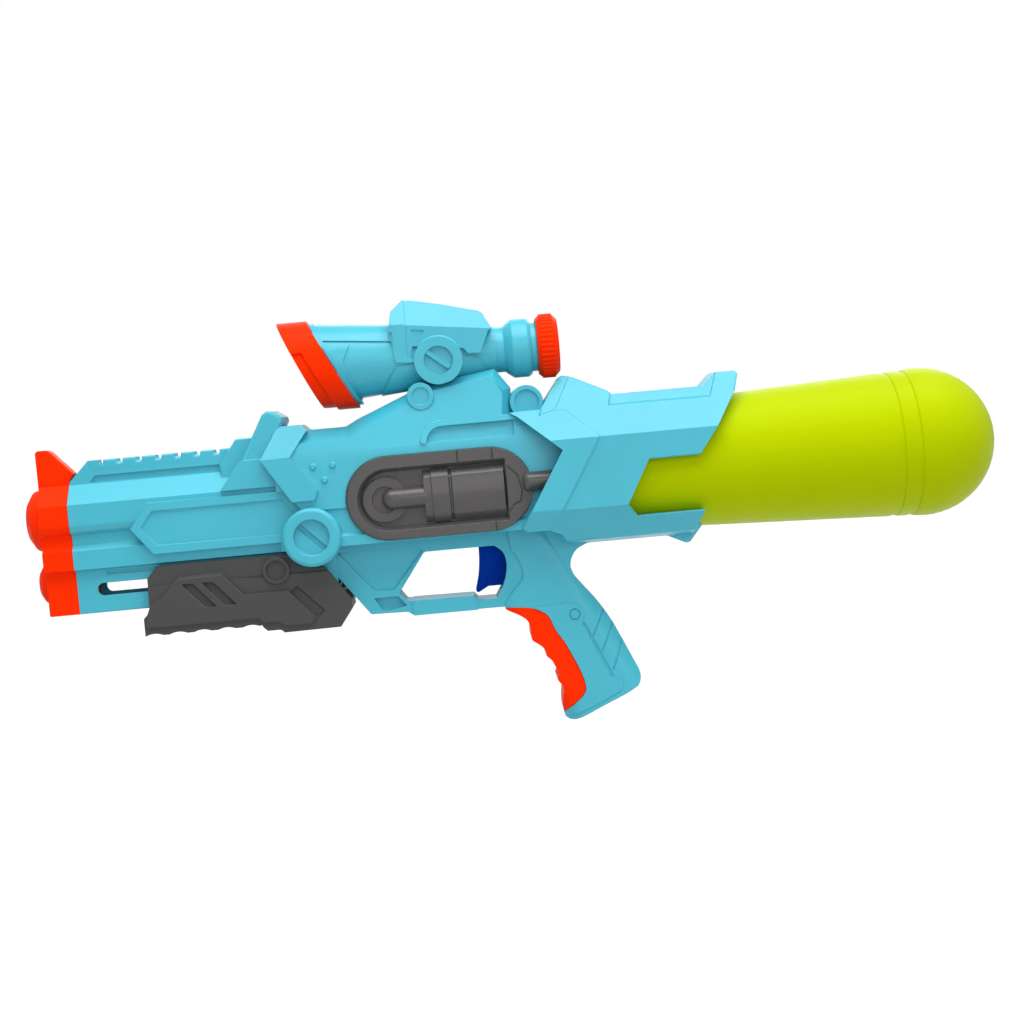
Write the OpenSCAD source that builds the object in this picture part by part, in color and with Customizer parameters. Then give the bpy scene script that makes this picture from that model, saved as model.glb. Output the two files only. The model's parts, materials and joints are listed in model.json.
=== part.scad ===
// Pump action water squirter: a two-part casing around a hand pump, a trigger valve and a screw-in tank.
// X runs from the nozzle mouth back to the tank, Y to the right-hand side and Z up.
// Z = 0 is the water line, the common axis of the nozzle and the tank.

/* [Barrel] */
// Length of the muzzle cap, from the nozzle mouth to the barrel
muzzle_length = 27; // [24:0.5:32]
// Length of the barrel, from the muzzle cap to the body
barrel_length = 115; // [110:1:125]
// Half width of the upper barrel
barrel_half_width = 21; // [20:0.25:22]
// Height of the upper barrel above the water line
barrel_top = 20; // [19:0.25:22]
// Half width of the lower barrel, which the pump grip runs on
lower_half_width = 15; // [14.5:0.25:16]
// Depth of the lower barrel under the water line
barrel_depth = 56.2; // [55:0.2:58]
// Height of the rail above the upper barrel
rail_height = 13.4; // [12:0.2:15]
// Half width of the rail
rail_half_width = 8; // [7:0.25:9]
// Distance from one rail tooth to the next
rail_pitch = 11.5; // [10:0.25:13]

/* [Body] */
// Length of the body, from the barrel to the tank shroud
body_length = 148; // [145:1:155]
// Half width of the body
body_half_width = 28; // [27:0.25:29.5]
// Thickness of the casing's walls
wall = 2.4; // [2:0.1:2.8]
// Radius of the round ends of the side panels
panel_radius = 24.5; // [23:0.25:25]
// Distance that the side panels stand proud of the body
panel_proud = 2.2; // [1.5:0.1:3]

/* [Tank shroud] */
// Length of the shroud's upper edge
shroud_length = 130; // [122:1:136]
// Half width of the shroud
shroud_half_width = 43.3; // [42.6:0.1:45]
// Half height of the shroud
shroud_half_height = 41.6; // [41.4:0.1:43]

/* [Tank] */
// Length of the tank behind its neck, to the end of the dome
tank_length = 244.5; // [235:0.5:260]
// Tank radius at its front end
tank_front_radius = 36; // [34:0.25:36.25]
// Tank radius at the ring before the dome
tank_rear_radius = 43; // [42:0.25:44]
// Tank radius at the root of the dome
dome_radius = 44.3; // [43.4:0.1:45.5]
// Thickness of the tank's wall
tank_wall = 2; // [1.6:0.1:2.6]
// Radius of the tank's neck
neck_radius = 13; // [12:0.25:14]
// Length of the tank's neck
neck_length = 15; // [13:0.5:17]

/* [Grip and trigger] */
// Half width of the pistol grip
grip_half_width = 16; // [15:0.25:17.5]
// Half width of the trigger guard
guard_half_width = 13; // [12:0.25:14]
// Half thickness of the trigger
trigger_half_width = 4.6; // [4:0.1:5]
// Radius of the trigger's pin
pin_radius = 2; // [1.6:0.1:2.3]
// Pull of the trigger in degrees
trigger_pull = 12; // [8:1:12]

/* [Pump] */
// Stroke of the pump
pump_stroke = 34; // [30:1:35]
// Height of the slot that the pump's link runs in
slot_height = 7.4; // [6.8:0.1:8]
// Bore radius of the pump's cylinder
cylinder_bore = 8.5; // [8:0.1:8.8]
// Outer radius of the pump's cylinder
cylinder_radius = 10; // [9.8:0.1:10.4]
// Radius of the piston rod
rod_radius = 4; // [3.4:0.1:4.4]
// Half width of the pump grip
pump_grip_half_width = 23.5; // [22.5:0.25:25]

/* [Scope] */
// Height of the scope's axis above the water line
scope_height = 77.2; // [76.5:0.1:79]
// Scope radius behind the hood
scope_front_radius = 23.6; // [22.5:0.1:24.5]
// Scope radius at the rear of its tapered tube
scope_rear_radius = 14; // [13.2:0.1:15]
// Radius of the eyepiece cap
eyepiece_radius = 19; // [18:0.25:20.5]
// Number of ribs round the eyepiece cap
eyepiece_ribs = 40; // [24:1:48]

/* [Fits] */
// Gap on each side between parts that slide or turn
clearance = 0.3; // [0.2:0.05:0.4]
// Gap on each side between parts that are fixed together
seat_gap = 0.1; // [0.06:0.02:0.16]
// Radius of the casing screws
screw_radius = 1.4; // [1.2:0.1:1.6]

/* [Hidden] */
$fn = 64;
// Overlap that joins solids of one piece, and the reach of cuts past a face
lap = 0.5;
cut = 1;
far = 400;

// Colours of the mouldings
aqua = [0.30, 0.72, 0.80];
orange = [1.0, 0.18, 0.02];
lime = [0.74, 0.82, 0.0];
dark_grey = [0.28, 0.27, 0.27];
panel_grey = [0.36, 0.34, 0.34];
blue = [0.0, 0.16, 0.55];

// Stations along the squirter
body_x = muzzle_length + barrel_length;
shroud_x = body_x + body_length;
strut_x = body_x + 34;
shroud_end = shroud_x + shroud_length;
link_length = 12;
slot_front = muzzle_length + 11.7;
link_x = slot_front + clearance + pump_stroke;
slot_rear = link_x + link_length + clearance;

// Heights of the barrel's steps
shoulder_z = barrel_top - 11.4;
ledge_z = -29.8;
waist_half_width = barrel_half_width - 5;
band_half_width = barrel_half_width - 2;
rail_top = barrel_top + rail_height;
pump_z = -42.6;
body_floor = -29.3;
crease_z = 25.5;

// Pump stations
gland_x = slot_rear + 12;
gland_length = 6;
piston_x = gland_x + gland_length + 8 + pump_stroke;
piston_length = 8;
head_x = piston_x + piston_length + 1;
head_length = 5;
barb_length = 8;
hose_bore = 2.5;
hose_radius = 3.2;
barb_radius = hose_bore - 0.2;

// Trigger and valve stations
pivot_x = shroud_x - 22;
pivot_z = -24;
plunger_z = pivot_z - 12;
plunger_x = shroud_x - 8.6;
valve_x = shroud_x - 2;
spring_room = 5.9;
valve_radius = 7;
plunger_radius = 3;
trigger_arm = pivot_z - plunger_z;
plunger_travel = trigger_arm * trigger_pull * PI / 180;
valve_length = 15.6 + plunger_travel + spring_room;
guard_z = -38.1;

// Tank stations
socket_x = shroud_x + 21;
socket_floor = 6.5;
socket_radius = neck_radius + 7;
neck_x = socket_x + socket_floor + 0.8;
tank_x = neck_x + neck_length;
tank_end = tank_x + tank_length;
dome_x = tank_end - dome_radius;
port_y = neck_radius - 6;

// Scope stations
scope_x = body_x + 38;
scope_tail = shroud_x - 5;
scope_lean = 0.51;

// Screw centres [x, z] in the casing with the reach of their bosses; heads sit on the right-hand side
boss_radius = 4.6;
head_radius = 2.8;
head_height = 2;
head_seat = 8;
screw_reach = 9;
shell_screw_spots = [
    [muzzle_length + 21, 11.5, 12], [muzzle_length + 21, -21.5, 17.5], [body_x - 32, 11.5, 12],
    [body_x - 32, -22, 17.5], [body_x + 43, 27, 17], [shroud_x - 28, 38, 17.5], [shroud_x - 50, -23, 15],
    [strut_x + 26, -55, 11], [shroud_x + 13, -62, 14.5], [shroud_x + 48, -118, 14.5],
    [shroud_x + 38, 47, 12],
    [shroud_end - 6, 47, 12]
];
scope_screw_spots = [[scope_x + 56, scope_height + 22], [scope_tail - 20, scope_height + 18]];
knob_x = scope_x + 70.8;
knob_z = scope_height - 3.4;
knob_radius = 14.2;
foot_x = [scope_x + 62, scope_x + 82];
foot_half_width = 7;
foot_z = scope_height - 27.2;
eyepiece_x = [scope_tail + 24.7, scope_tail + 37.5];

// Moves outline points
function shift(points, dx, dz) = [for (p = points) [p[0] + dx, p[1] + dz]];
// Points of an arc round [cx, cz]
function arc(cx, cz, r, a0, a1, n) =
    [for (i = [0:n]) let(a = a0 + (a1 - a0) * i / n) [cx + r * cos(a), cz + r * sin(a)]];
// Right-hand half of a profile, listed from top to bottom, with its mirror image
function whole(half) = concat(half, [for (i = [len(half) - 1:-1:0]) [-half[i][0], half[i][1]]]);
function total(list) = list * [for (i = list) 1];
function reversed(list) = [for (i = [len(list) - 1:-1:0]) list[i]];
function unit(v) = v / norm(v);
// Outline in anticlockwise order
function ordered(p) =
    let(n = len(p),
        s = total([for (i = [0:n - 1]) let(q = p[(i + 1) % n]) p[i][0] * q[1] - q[0] * p[i][1]]))
    s > 0 ? p : reversed(p);
// Outline moved inwards by d, for an outline in anticlockwise order
function inset(p, d) =
    let(n = len(p))
    [for (i = [0:n - 1])
        let(a = unit(p[i] - p[(i + n - 1) % n]), b = unit(p[(i + 1) % n] - p[i]))
        let(u = [-a[1], a[0]], v = [-b[1], b[0]])
        p[i] + (u + v) * d / (1 + u * v)];
function spline_point(a, b, c, d, t) =
    (2 * b + (c - a) * t + (2 * a - 5 * b + 4 * c - d) * t * t + (3 * b - a - 3 * c + d) * t * t * t) / 2;
// Smooth curve through the points, with n steps between two of them
function smooth(p, n) =
    let(last = len(p) - 1)
    concat([for (i = [0:last - 1]) for (k = [0:n - 1])
        spline_point(p[max(i - 1, 0)], p[i], p[i + 1], p[min(i + 2, last)], k / n)], [p[last]]);
// Side faces of stacked rings of n points
function ring_sides(count, n) =
    [for (k = [0:count - 2]) for (i = [0:n - 1]) let(j = (i + 1) % n)
        each [[k * n + i, (k + 1) * n + i, (k + 1) * n + j], [k * n + i, (k + 1) * n + j, k * n + j]]];
function ring_faces(count, n) =
    concat([[for (i = [0:n - 1]) i], [for (i = [n - 1:-1:0]) (count - 1) * n + i]], ring_sides(count, n));

// Left-side plate: an outline in X and Z between two distances from the middle plane
module plate(points, y_in, y_out) {
    translate([0, -y_in, 0])
        rotate([90, 0, 0])
            linear_extrude(y_out - y_in)
                polygon(points);
}

// Left-side plate with its outer edge rounded, or chamfered when steps is 1
module soft_plate(points, y_in, y_out, r, steps) {
    p = ordered(points);
    depths = concat([y_in], [for (k = [0:steps]) y_out - r + r * sin(90 * k / steps)]);
    insets = concat([0], [for (k = [0:steps]) r * (1 - cos(90 * k / steps))]);
    polyhedron(
        points = [for (k = [0:steps + 1]) for (q = inset(p, insets[k])) [q[0], -depths[k], q[1]]],
        faces = ring_faces(steps + 2, len(p))
    );
}

// Left-side plate whose outline shrinks by d between y_mid and y_out
module sloped_plate(points, y_in, y_mid, y_out, d) {
    p = ordered(points);
    q = inset(p, d);
    polyhedron(
        points = concat([for (a = p) [a[0], -y_in, a[1]]], [for (a = p) [a[0], -y_mid, a[1]]],
            [for (a = q) [a[0], -y_out, a[1]]]),
        faces = ring_faces(3, len(p))
    );
}

// Profile in Y and Z drawn out along X
module section(points, x0, x1) {
    translate([x0, 0, 0])
        rotate([90, 0, 90])
            linear_extrude(x1 - x0)
                polygon(points);
}

// Body turned about an axis along X at height z; points are [radius, x]
module turned(points, z) {
    translate([0, 0, z])
        rotate([0, 90, 0])
            rotate_extrude()
                polygon(points);
}

// Cylinder along X
module rod_x(x0, x1, r, y, z) {
    translate([x0, y, z])
        rotate([0, 90, 0])
            cylinder(h = x1 - x0, r = r);
}

// Cylinder on the left side, along Y
module rod_y(x, z, r, y_in, y_out) {
    translate([x, -y_in, z])
        rotate([90, 0, 0])
            cylinder(h = y_out - y_in, r = r);
}

// Box between two corners
module box(a, b) {
    translate(a)
        cube(b - a);
}

// Solid or hollow tube along a path; the reference is a direction that the path never takes
module tube(path, r_out, r_in, sides, reference) {
    last = len(path) - 1;
    tangents = [for (i = [0:last]) unit(path[min(i + 1, last)] - path[max(i - 1, 0)])];
    function ring(i, r) =
        let(u = unit(cross(tangents[i], reference)), v = cross(tangents[i], u))
        [for (k = [0:sides - 1]) path[i] + r * (cos(360 * k / sides) * u + sin(360 * k / sides) * v)];
    outer = [for (i = [0:last]) each ring(i, r_out)];
    inner = [for (i = [0:last]) each ring(i, r_in)];
    base = len(outer);
    hollow_faces = concat(
        ring_sides(last + 1, sides),
        [for (f = ring_sides(last + 1, sides)) [f[2] + base, f[1] + base, f[0] + base]],
        [for (i = [0:sides - 1]) let(j = (i + 1) % sides) each [[i, j, base + j],
        [i, base + j, base + i]]],
        [for (i = [0:sides - 1]) let(j = (i + 1) % sides, e = last * sides)
            each [[e + j, e + i, base + e + i], [e + j, base + e + i, base + e + j]]]
    );
    if (r_in > 0)
        polyhedron(points = concat(outer, inner), faces = hollow_faces);
    else
        polyhedron(points = outer, faces = ring_faces(last + 1, sides));
}

// Draws a left-side solid on the left (side = -1) or the right (side = 1)
module on_side(side) {
    if (side < 0)
        children();
    else
        mirror([0, 1, 0])
            children();
}

// Barrel profile, and the space inside it
barrel_profile = ordered(whole([
    [9, barrel_top], [barrel_half_width, shoulder_z], [barrel_half_width, -4.1],
    [barrel_half_width - 1.4, -7.5],
    [waist_half_width, -9.5], [waist_half_width, -15.3], [band_half_width, -18.5],
    [band_half_width, ledge_z],
    [lower_half_width, ledge_z - 1.2], [lower_half_width, -barrel_depth]
]));
barrel_space = inset(barrel_profile, wall);

module rail_form() {
    tooth_gap = 4.2;
    rail_front = muzzle_length + 12;
    rail_rear = body_x - 16;
    teeth = floor((rail_rear - rail_front - 6) / rail_pitch);
    outline = [
        [muzzle_length, barrel_top - 3], [muzzle_length, barrel_top + 1.5], [rail_front, rail_top],
        [rail_rear, rail_top], [rail_rear, barrel_top - 3]
    ];
    difference() {
        plate(outline, -rail_half_width, rail_half_width);
        for (i = [0:teeth - 1])
            plate(shift([[0.6, -2.7], [tooth_gap - 0.6, -2.7], [tooth_gap, cut], [0, cut]],
                rail_front + 4.9 + i * rail_pitch, rail_top),
                -20, 20);
        for (s = [-1, 1])
            on_side(s)
                plate(shift([[0.8, -6.2], [rail_rear - rail_front + cut, -6.2],
                    [rail_rear - rail_front + cut, cut], [0.8, cut]],
                    rail_front, rail_top),
                    rail_half_width - 0.7, rail_half_width + cut);
        for (s = [-1, 1])
            on_side(s)
                plate([[rail_front, barrel_top + 0.3], [rail_front + 3, barrel_top + 4.3],
                    [rail_rear + cut, barrel_top + 4.3], [rail_rear + cut, barrel_top + 0.3]],
                    rail_half_width - 1.6, rail_half_width + cut);
    }
}

// Hexagon frame on the barrel's side
frame_outline = [
    [muzzle_length + 35.6, -8.4], [muzzle_length + 46.8, 5.8], [body_x + 12, 5.8], [body_x + 24, -8.4],
    [body_x + 12, -24.1], [muzzle_length + 47.8, -24.1]
];

module frame_form() {
    difference() {
        plate(frame_outline, waist_half_width - 3, barrel_half_width + 2.4);
        plate(inset(ordered(frame_outline), 4.8), barrel_half_width + 1, barrel_half_width + 4);
    }
}

// Slanted plates between the barrel and the body
module plates_form() {
    block = [
        [-25.5, barrel_top + 4], [-14.6, barrel_top + 18.4], [9, barrel_top + 18.4], [9, 10],
        [-22.5, 10], [-24.5, 14]
    ];
    fin = [[-12, 24], [3.2, 51.2], [6.2, 53], [9, 52.6], [14.5, 48.8], [14.9, 46.2], [1, 22]];
    web = [[-25, 8.8], [-12.3, 25.5], [3, 25.5], [12, 8.8]];
    chevron_low = [[0.5, 24.8], [17.5, 25.3], [32.6, 4.2], [30.2, -1.2], [17, -1.2]];
    chevron_top = [[0.5, 24.8], [11.6, 43.4], [24, 43.4], [28.2, 39.5], [17.5, 24.8]];
    plate(shift(block, body_x, 0), -lap, 13);
    sloped_plate(shift(fin, body_x, 0), -lap, 21.6, 22.8, 1);
    plate(shift(web, body_x, 0), 2, 24.2);
    plate(shift(chevron_low, body_x, 0), 4, body_half_width + 3);
    intersection() {
        plate(shift(chevron_top, body_x, 0), 3, body_half_width + 8);
        section(whole([[14.4, 60], [body_half_width + 3.1, crease_z - 1.5], [body_half_width + 3.1, 0]]),
            body_x - 10, body_x + 60);
    }
}

boss_x = body_x + 26.2;
boss_z = -22.4;
boss_half_width = body_half_width + 5;

module ring_boss_form() {
    difference() {
        union() {
            rod_y(boss_x, boss_z, 17.3, 6, boss_half_width - 1.5);
            translate([boss_x, -boss_half_width + 1.5, boss_z])
                rotate([90, 0, 0])
                    cylinder(h = 1.5, r1 = 17.3, r2 = 15.6);
        }
        rod_y(boss_x, boss_z, 10.4, boss_half_width - 3.6, boss_half_width + cut);
    }
}

// Slot across the floor of the ring boss
module boss_slot() {
    translate([boss_x, -boss_half_width + 2.6, boss_z])
        rotate([0, 45, 0])
            box([-10.2, 0, -1.6], [10.2, 3, 1.6]);
}

module dots_form() {
    for (p = [[30.6, 18.3], [42, 18.3], [36.6, 10]])
        translate([body_x + p[0], -body_half_width + 0.4, p[1]])
            rotate([90, 0, 0])
                cylinder(h = 1.6, r1 = 2.4, r2 = 1.3);
}

body_profile = whole([
    [12, crease_z + 6], [body_half_width - 1.6, crease_z + 6], [body_half_width, crease_z],
    [body_half_width, -7],
    [body_half_width - 1.6, -8], [body_half_width - 1.6, -22], [body_half_width, -23.6],
    [body_half_width, body_floor]
]);
// Outline of the top of the body, up to the scope's seat
top_outline = [
    [body_x + 8, 15], [body_x + 8, 39.9], [body_x + 50.6, 39.9], [body_x + 58.5, 43.9],
    [body_x + 87, scope_height - 21.9],
    [body_x + 96, scope_height - 17.2], [shroud_x - 7, scope_height - 11],
    [shroud_x + 1.5, scope_height - 23],
    [shroud_x + 2, 15]
];

module body_form() {
    difference() {
        section(body_profile, body_x + 8, shroud_x + 30);
        plate(inset(ordered(frame_outline), 0.05), waist_half_width, 60);
    }
    section(whole([[12, 38.8], [body_half_width - 4.1, 38.8], [body_half_width - 0.4, crease_z - 0.5],
        [body_half_width - 0.4, 12]]), body_x + 92, shroud_x + 24);
    intersection() {
        sloped_plate(top_outline, -lap, 12, body_half_width, 9);
        section(whole([[17.5, scope_height - 9.2], [body_half_width - 0.3, crease_z - 0.5],
            [body_half_width - 0.3, 10]]),
            body_x, shroud_x + 10);
    }
    difference() {
        rod_y(body_x + 96.4, scope_height - 23.4, 7.9, 6, 23.4);
        rod_y(body_x + 96.4, scope_height - 23.4, 5.2, 22.4, 30);
    }
    arch_form();
}

// Recess above the side panel, inside the bead
module arch_recess() {
    bend = body_x + 107;
    inside = concat(arc(bend, crease_z + 0.7, 9.3, 180, 90, 8), [[shroud_x + 40, crease_z + 10]],
        [[shroud_x + 40, crease_z + 0.7]]);
    difference() {
        plate(inside, 16, body_half_width + 2);
        section(whole([[16, scope_height - 9.2], [body_half_width - 2.2, crease_z],
            [body_half_width - 2.2, 10]]),
            body_x, shroud_x + 60);
        box([shroud_x + 1, -60, 0], [shroud_x + 60, 0, 60]);
    }
}

// Raised bead round that recess
module arch_form() {
    bend = body_x + 107;
    bead = concat(arc(bend, crease_z + 0.5, 13, 180, 90, 8), [[shroud_x + 4, crease_z + 13.5]],
        [[shroud_x + 4, crease_z + 10]], arc(bend, crease_z + 0.5, 9.5, 90, 180, 8));
    intersection() {
        plate(bead, 14, body_half_width + 3);
        section(whole([[18.6, scope_height - 9.2], [body_half_width + 1.4, crease_z - 1],
            [body_half_width + 1.4, 10]]),
            body_x, shroud_x + 10);
    }
}

// Cross-section of the tank shroud with its ridge, grown by g and with its upper slopes moved in by d
function shroud_profile(g, d) = whole([
    [9.6 - d, shroud_half_height + 17.8 + g], [shroud_half_width + g - d, 21.4],
    [shroud_half_width + g - d, -19.2],
    [27, -shroud_half_height + 2.8 - g], [12, -shroud_half_height - g]
]);
shroud_lower = [
    [shroud_x + 2.7, 37.2], [shroud_x + 27.6, 15.4], [shroud_x + 0.5, -28.4], [shroud_x + 3, -30.8],
    [shroud_x + 16, -30.8], [shroud_x + 23, -34], [shroud_x + 40, -60], [shroud_end - 42, -60],
    [shroud_end - 32, -47], [shroud_end - 22, -26.5], [shroud_end - 61.8, -26.5],
    [shroud_end - 67.3, -19.3],
    [shroud_end - 53.4, 5.7], [shroud_end - 23.6, 5.7], [shroud_end - 12.1, 21.1]
];
// Hump, ridge and hook on top, seen from the side
hook_outline = shift([[2.3, 41.5], [5.6, 50.4], [4, 52.4], [-7, 52.4], [-9.2, 51], [-14.6, 45]],
    shroud_end, 0);
hump_outline = shift([[60.4, 45], [57.4, 47.6], [38, 57.4], [32.5, 58.6], [30.2, 57], [18.6, 41],
    [17.4, 39.5], [-1, 39.5]],
    shroud_x, 0);
shroud_outline = concat(shroud_lower, hook_outline, hump_outline);
band_outline = shift([
    [2.7, 37.4], [27.6, 15.4], [0.5, -28.4], [3, -30.8], [16, -30.8], [19.9, -27], [49.6, 22], [31.5, 38.6]
], shroud_x, 0);

module shroud_form() {
    intersection() {
        section(shroud_profile(0, 0), shroud_x - 5, shroud_end + 10);
        plate(shroud_outline, -80, 80);
    }
    intersection() {
        section(shroud_profile(1.2, 0), shroud_x - 5, shroud_end + 5);
        plate(band_outline, -80, 80);
    }
    prong_form();
}

// Recess along the ridge, and the step at the front of the hump
module ridge_recess() {
    strip = concat(shift([[57.2, 38.8], [61, 52]], shroud_x, 0),
        shift([[-7.2, 52], [-13, 38.8]], shroud_end, 0));
    step = shift([[16, 36], [26.2, 39.4], [37.8, 60], [28, 62]], shroud_x, 0);
    difference() {
        plate(strip, 2, 60);
        section(shroud_profile(0, 2.6), shroud_x - 5, shroud_end + 15);
    }
    difference() {
        plate(step, 2, 60);
        section(shroud_profile(0, 1.4), shroud_x - 5, shroud_end + 15);
    }
}

// Round boss in front of the hump, and the prong below
module prong_form() {
    prong = [[72, -30], [85.2, -41], [97.6, -47], [100, -46.6], [109, -36], [106, -30]];
    soft_plate(shift(prong, shroud_end - 130, 41.6 - shroud_half_height), -lap, 14, 2, 1);
    difference() {
        rod_y(shroud_x + 10.1, 45, 9.8, -lap, 18);
        rod_y(shroud_x + 10.1, 45, 7.2, 16.5, 20);
        box([shroud_x - 5, -30, 30], [shroud_x + 25, 30, 37]);
    }
}

// Trigger guard with the strut in front of it
module guard_form() {
    outline = [
        [strut_x - 6, -24], [strut_x - 6, -40], [strut_x, -43.1], [strut_x + 21.5, -72.2],
        [strut_x + 43.3, -72.7],
        [strut_x + 46.2, -74.7], [shroud_x + 2, -74.9], [shroud_x + 14, -60], [shroud_x + 24, -42],
        [shroud_x + 24, -24]
    ];
    inner = inset(ordered([
        [strut_x + 2, -33], [strut_x + 24, -60], [strut_x + 37, -60], [shroud_x - 56.5, -36.5],
        [shroud_x - 66, -30.5]
    ]), 1.5);
    blend = [[shroud_x - 20, lap], [shroud_x - 20, 0.2 - guard_half_width],
        [shroud_x - 3, 1.4 - grip_half_width],
        [shroud_x + 40, 1.4 - grip_half_width], [shroud_x + 40, lap]];
    difference() {
        union() {
            plate(outline, -lap, guard_half_width);
            intersection() {
                plate(outline, -lap, grip_half_width);
                translate([0, 0, -90])
                    linear_extrude(80)
                        polygon(blend);
            }
        }
        plate(finger_gap, -20, 20);
        plate(inner, guard_half_width - 1.4, 30);
        plate([[strut_x + 24, -63], [strut_x + 38, -63], [strut_x + 43, -69], [strut_x + 29, -71]],
            guard_half_width - 4, 30);
    }
    plate(shift([[-67.6, -66.2], [-31, -66.7], [-29.4, -68], [-29.4, -75.2], [-67.4, -75.2]], shroud_x, 0),
        -lap, guard_half_width + 0.9);
}

// Opening for the finger inside the guard
finger_gap = concat(
    [[shroud_x - 58, guard_z], [shroud_x - 74.7, -60.9], [shroud_x - 70.7, -66.4],
    [shroud_x - 30.5, -67.3]],
    [[shroud_x - 28.4, -69.4], [shroud_x - 17.5, -69.4], [shroud_x - 13.5, -63]],
    smooth([[shroud_x - 11.5, -58], [shroud_x - 10, -50], [shroud_x - 11.5, -42.5],
        [shroud_x - 16.5, guard_z]], 4)
);

// Outline of the pistol grip with the finger insert
grip_front = smooth(shift([
    [-13, -73], [-13.1, -75.9], [-11.5, -77.4], [-7.9, -79.1], [-4.6, -80.9], [-1.5, -83.3],
    [0.2, -86.1], [0.8, -89], [0.7, -91.8], [0.8, -94.7], [1.6, -96.7], [3.5, -98], [6.4, -100.3],
    [8.5, -102.8], [9, -104.3], [8.6, -105.9], [9.8, -107.3], [11.6, -109.1], [13, -112],
    [14.9, -116.5], [15.5, -118], [14.4, -119], [14.1, -120.7], [15.2, -122.8], [16.7, -124.6],
    [17.1, -128.1], [16.4, -133.2], [16.1, -138.3], [16.6, -141.4], [17.1, -144.4]
], shroud_x, 0), 3);
grip_rear = smooth(shift([
    [19.7, -145.9], [23.1, -145.9], [29, -143.9], [40.8, -138.7], [52.6, -133.8], [59.2, -130.4],
    [62.2, -128.3], [63.7, -124.5], [63.3, -119.9], [60.7, -113.9], [55, -100.9], [50.3, -90.5],
    [45.1, -81.4], [39.3, -73.2], [35.2, -68.1], [30.2, -61.2], [27.6, -54.7], [28.2, -50.7],
    [30.7, -46.2], [34.2, -43.3], [40, -41]
], shroud_x, 0), 3);
grip_outline = concat(grip_front, grip_rear, shift([[42, -30], [-8, -30], [-7, -41]], shroud_x, 0),
    smooth(shift([[-4.3, -43.7], [-1.1, -51.9], [-1, -57.8], [-3, -61.6], [-8.4, -67]], shroud_x, 0), 3));
// Line between the grip and the finger insert
insert_line = smooth(shift([
    [-24, -80], [-13.7, -75.8], [-3.9, -76], [4, -77.4], [9.9, -80.6], [12.9, -84.2], [14.4, -89.1],
    [16.8, -93.6],
    [20.8, -100], [25.7, -110.8], [29.2, -119.7], [30.4, -125.6], [29.9, -129.5], [26.7, -133.5],
    [14, -143]
], shroud_x, 0), 3);
insert_region = concat(insert_line, shift([[-12, -150], [-40, -100]], shroud_x, 0));

// Leaning prism with round edges that gives the grip its section, grown by g
module grip_prism(g) {
    lean = 27;
    front = -15 - g;
    rear = 41 + g;
    r = 13 + g;
    w = grip_half_width + g;
    rounded = concat(arc(rear - r, w - r, r, 0, 90, 8), arc(front + r, w - r, r, 90, 180, 8),
        arc(front + r, r - w, r, 180, 270, 8), arc(rear - r, r - w, r, 270, 360, 8));
    translate([shroud_x + 10.5, 0, -100])
        rotate([0, -lean, 0])
            translate([0, 0, -70])
                linear_extrude(150)
                    polygon(rounded);
}

module grip_form(y_in) {
    pad = shift([
        [-4, -78], [4.8, -76.8], [17.9, -76], [24.8, -75.7], [28.7, -76.7], [31.8, -79.5],
        [33.1, -83.6], [31.4, -88.1],
        [45.9, -121.4], [46.6, -123.2], [53.3, -124.1], [51, -130.7], [38, -136.9], [22, -143]
    ], shroud_x, 0);
    intersection() {
        plate(grip_outline, y_in, grip_half_width + cut);
        grip_prism(0);
    }
    intersection() {
        plate(pad, 6, grip_half_width + cut);
        grip_prism(0.6);
    }
}

// Web between the grip and the shroud
module web_form() {
    outline = concat(
        shift([[2, -30], [2, -66], [8, -72], [30, -62.5]], shroud_x, 0),
        smooth(shift([[27.6, -54.7], [28.2, -50.7], [30.7, -46.2], [34.2, -43.3], [40, -41]], shroud_x,
            0), 2),
        shift([[44, -30]], shroud_x, 0)
    );
    plate(outline, -lap, grip_half_width - 1.2);
}

// Grooves on the grip's side
module grip_grooves() {
    module groove(a, b, half_a, half_b) {
        n = unit([a[1] - b[1], b[0] - a[0]]);
        plate(shift([a + n * half_a, b + n * half_b, b - n * half_b, a - n * half_a], shroud_x, 0), 4, 40);
    }
    difference() {
        union() {
            groove([32.3, -88.4], [46.4, -121.6], 0.8, 1.3);
            groove([37, -97.3], [45.4, -81.4], 0.45, 0.45);
            groove([41.6, -106.5], [51.4, -87.4], 0.45, 0.45);
            groove([47.4, -117.9], [56.6, -96.6], 0.45, 0.45);
        }
        grip_prism(-0.8);
    }
    difference() {
        rod_y(shroud_x + 27.5, -82.8, 3.5, grip_half_width - 0.2, grip_half_width + 3);
        rod_y(shroud_x + 27.5, -82.8, 2.6, grip_half_width - 2, grip_half_width + 4);
    }
}

// Outline of the side panels, for a given radius
panel_z = -3.85;
panel_x0 = body_x + 72.2;
panel_x1 = shroud_x - 15.5;
function stadium(r) = concat(arc(panel_x1, panel_z, r, -90, 90, 20),
    arc(panel_x0, panel_z, r, 90, 270, 20));

// Tank profile [radius, x], grown by g
function tank_profile(g) = concat(
    [[0, tank_x - g], [neck_radius + g, tank_x - g], [tank_front_radius - 6 + g, tank_x + 6 - g],
        [tank_front_radius + g, tank_x + 14 - g], [tank_rear_radius + g, dome_x - 22.5],
        [tank_rear_radius - 0.7 + g, dome_x - 18], [tank_rear_radius + 0.1 + g, dome_x - 17.4],
        [tank_rear_radius + 0.4 + g, dome_x - 12.4], [tank_rear_radius - 0.2 + g, dome_x - 8],
        [tank_rear_radius + 0.6 + g, dome_x - 7.4]],
    [for (a = [-6:6:84]) [(dome_radius + g) * cos(a), dome_x + (dome_radius + g) * sin(a)]],
    [[0, dome_x + dome_radius + g]]
);

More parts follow.
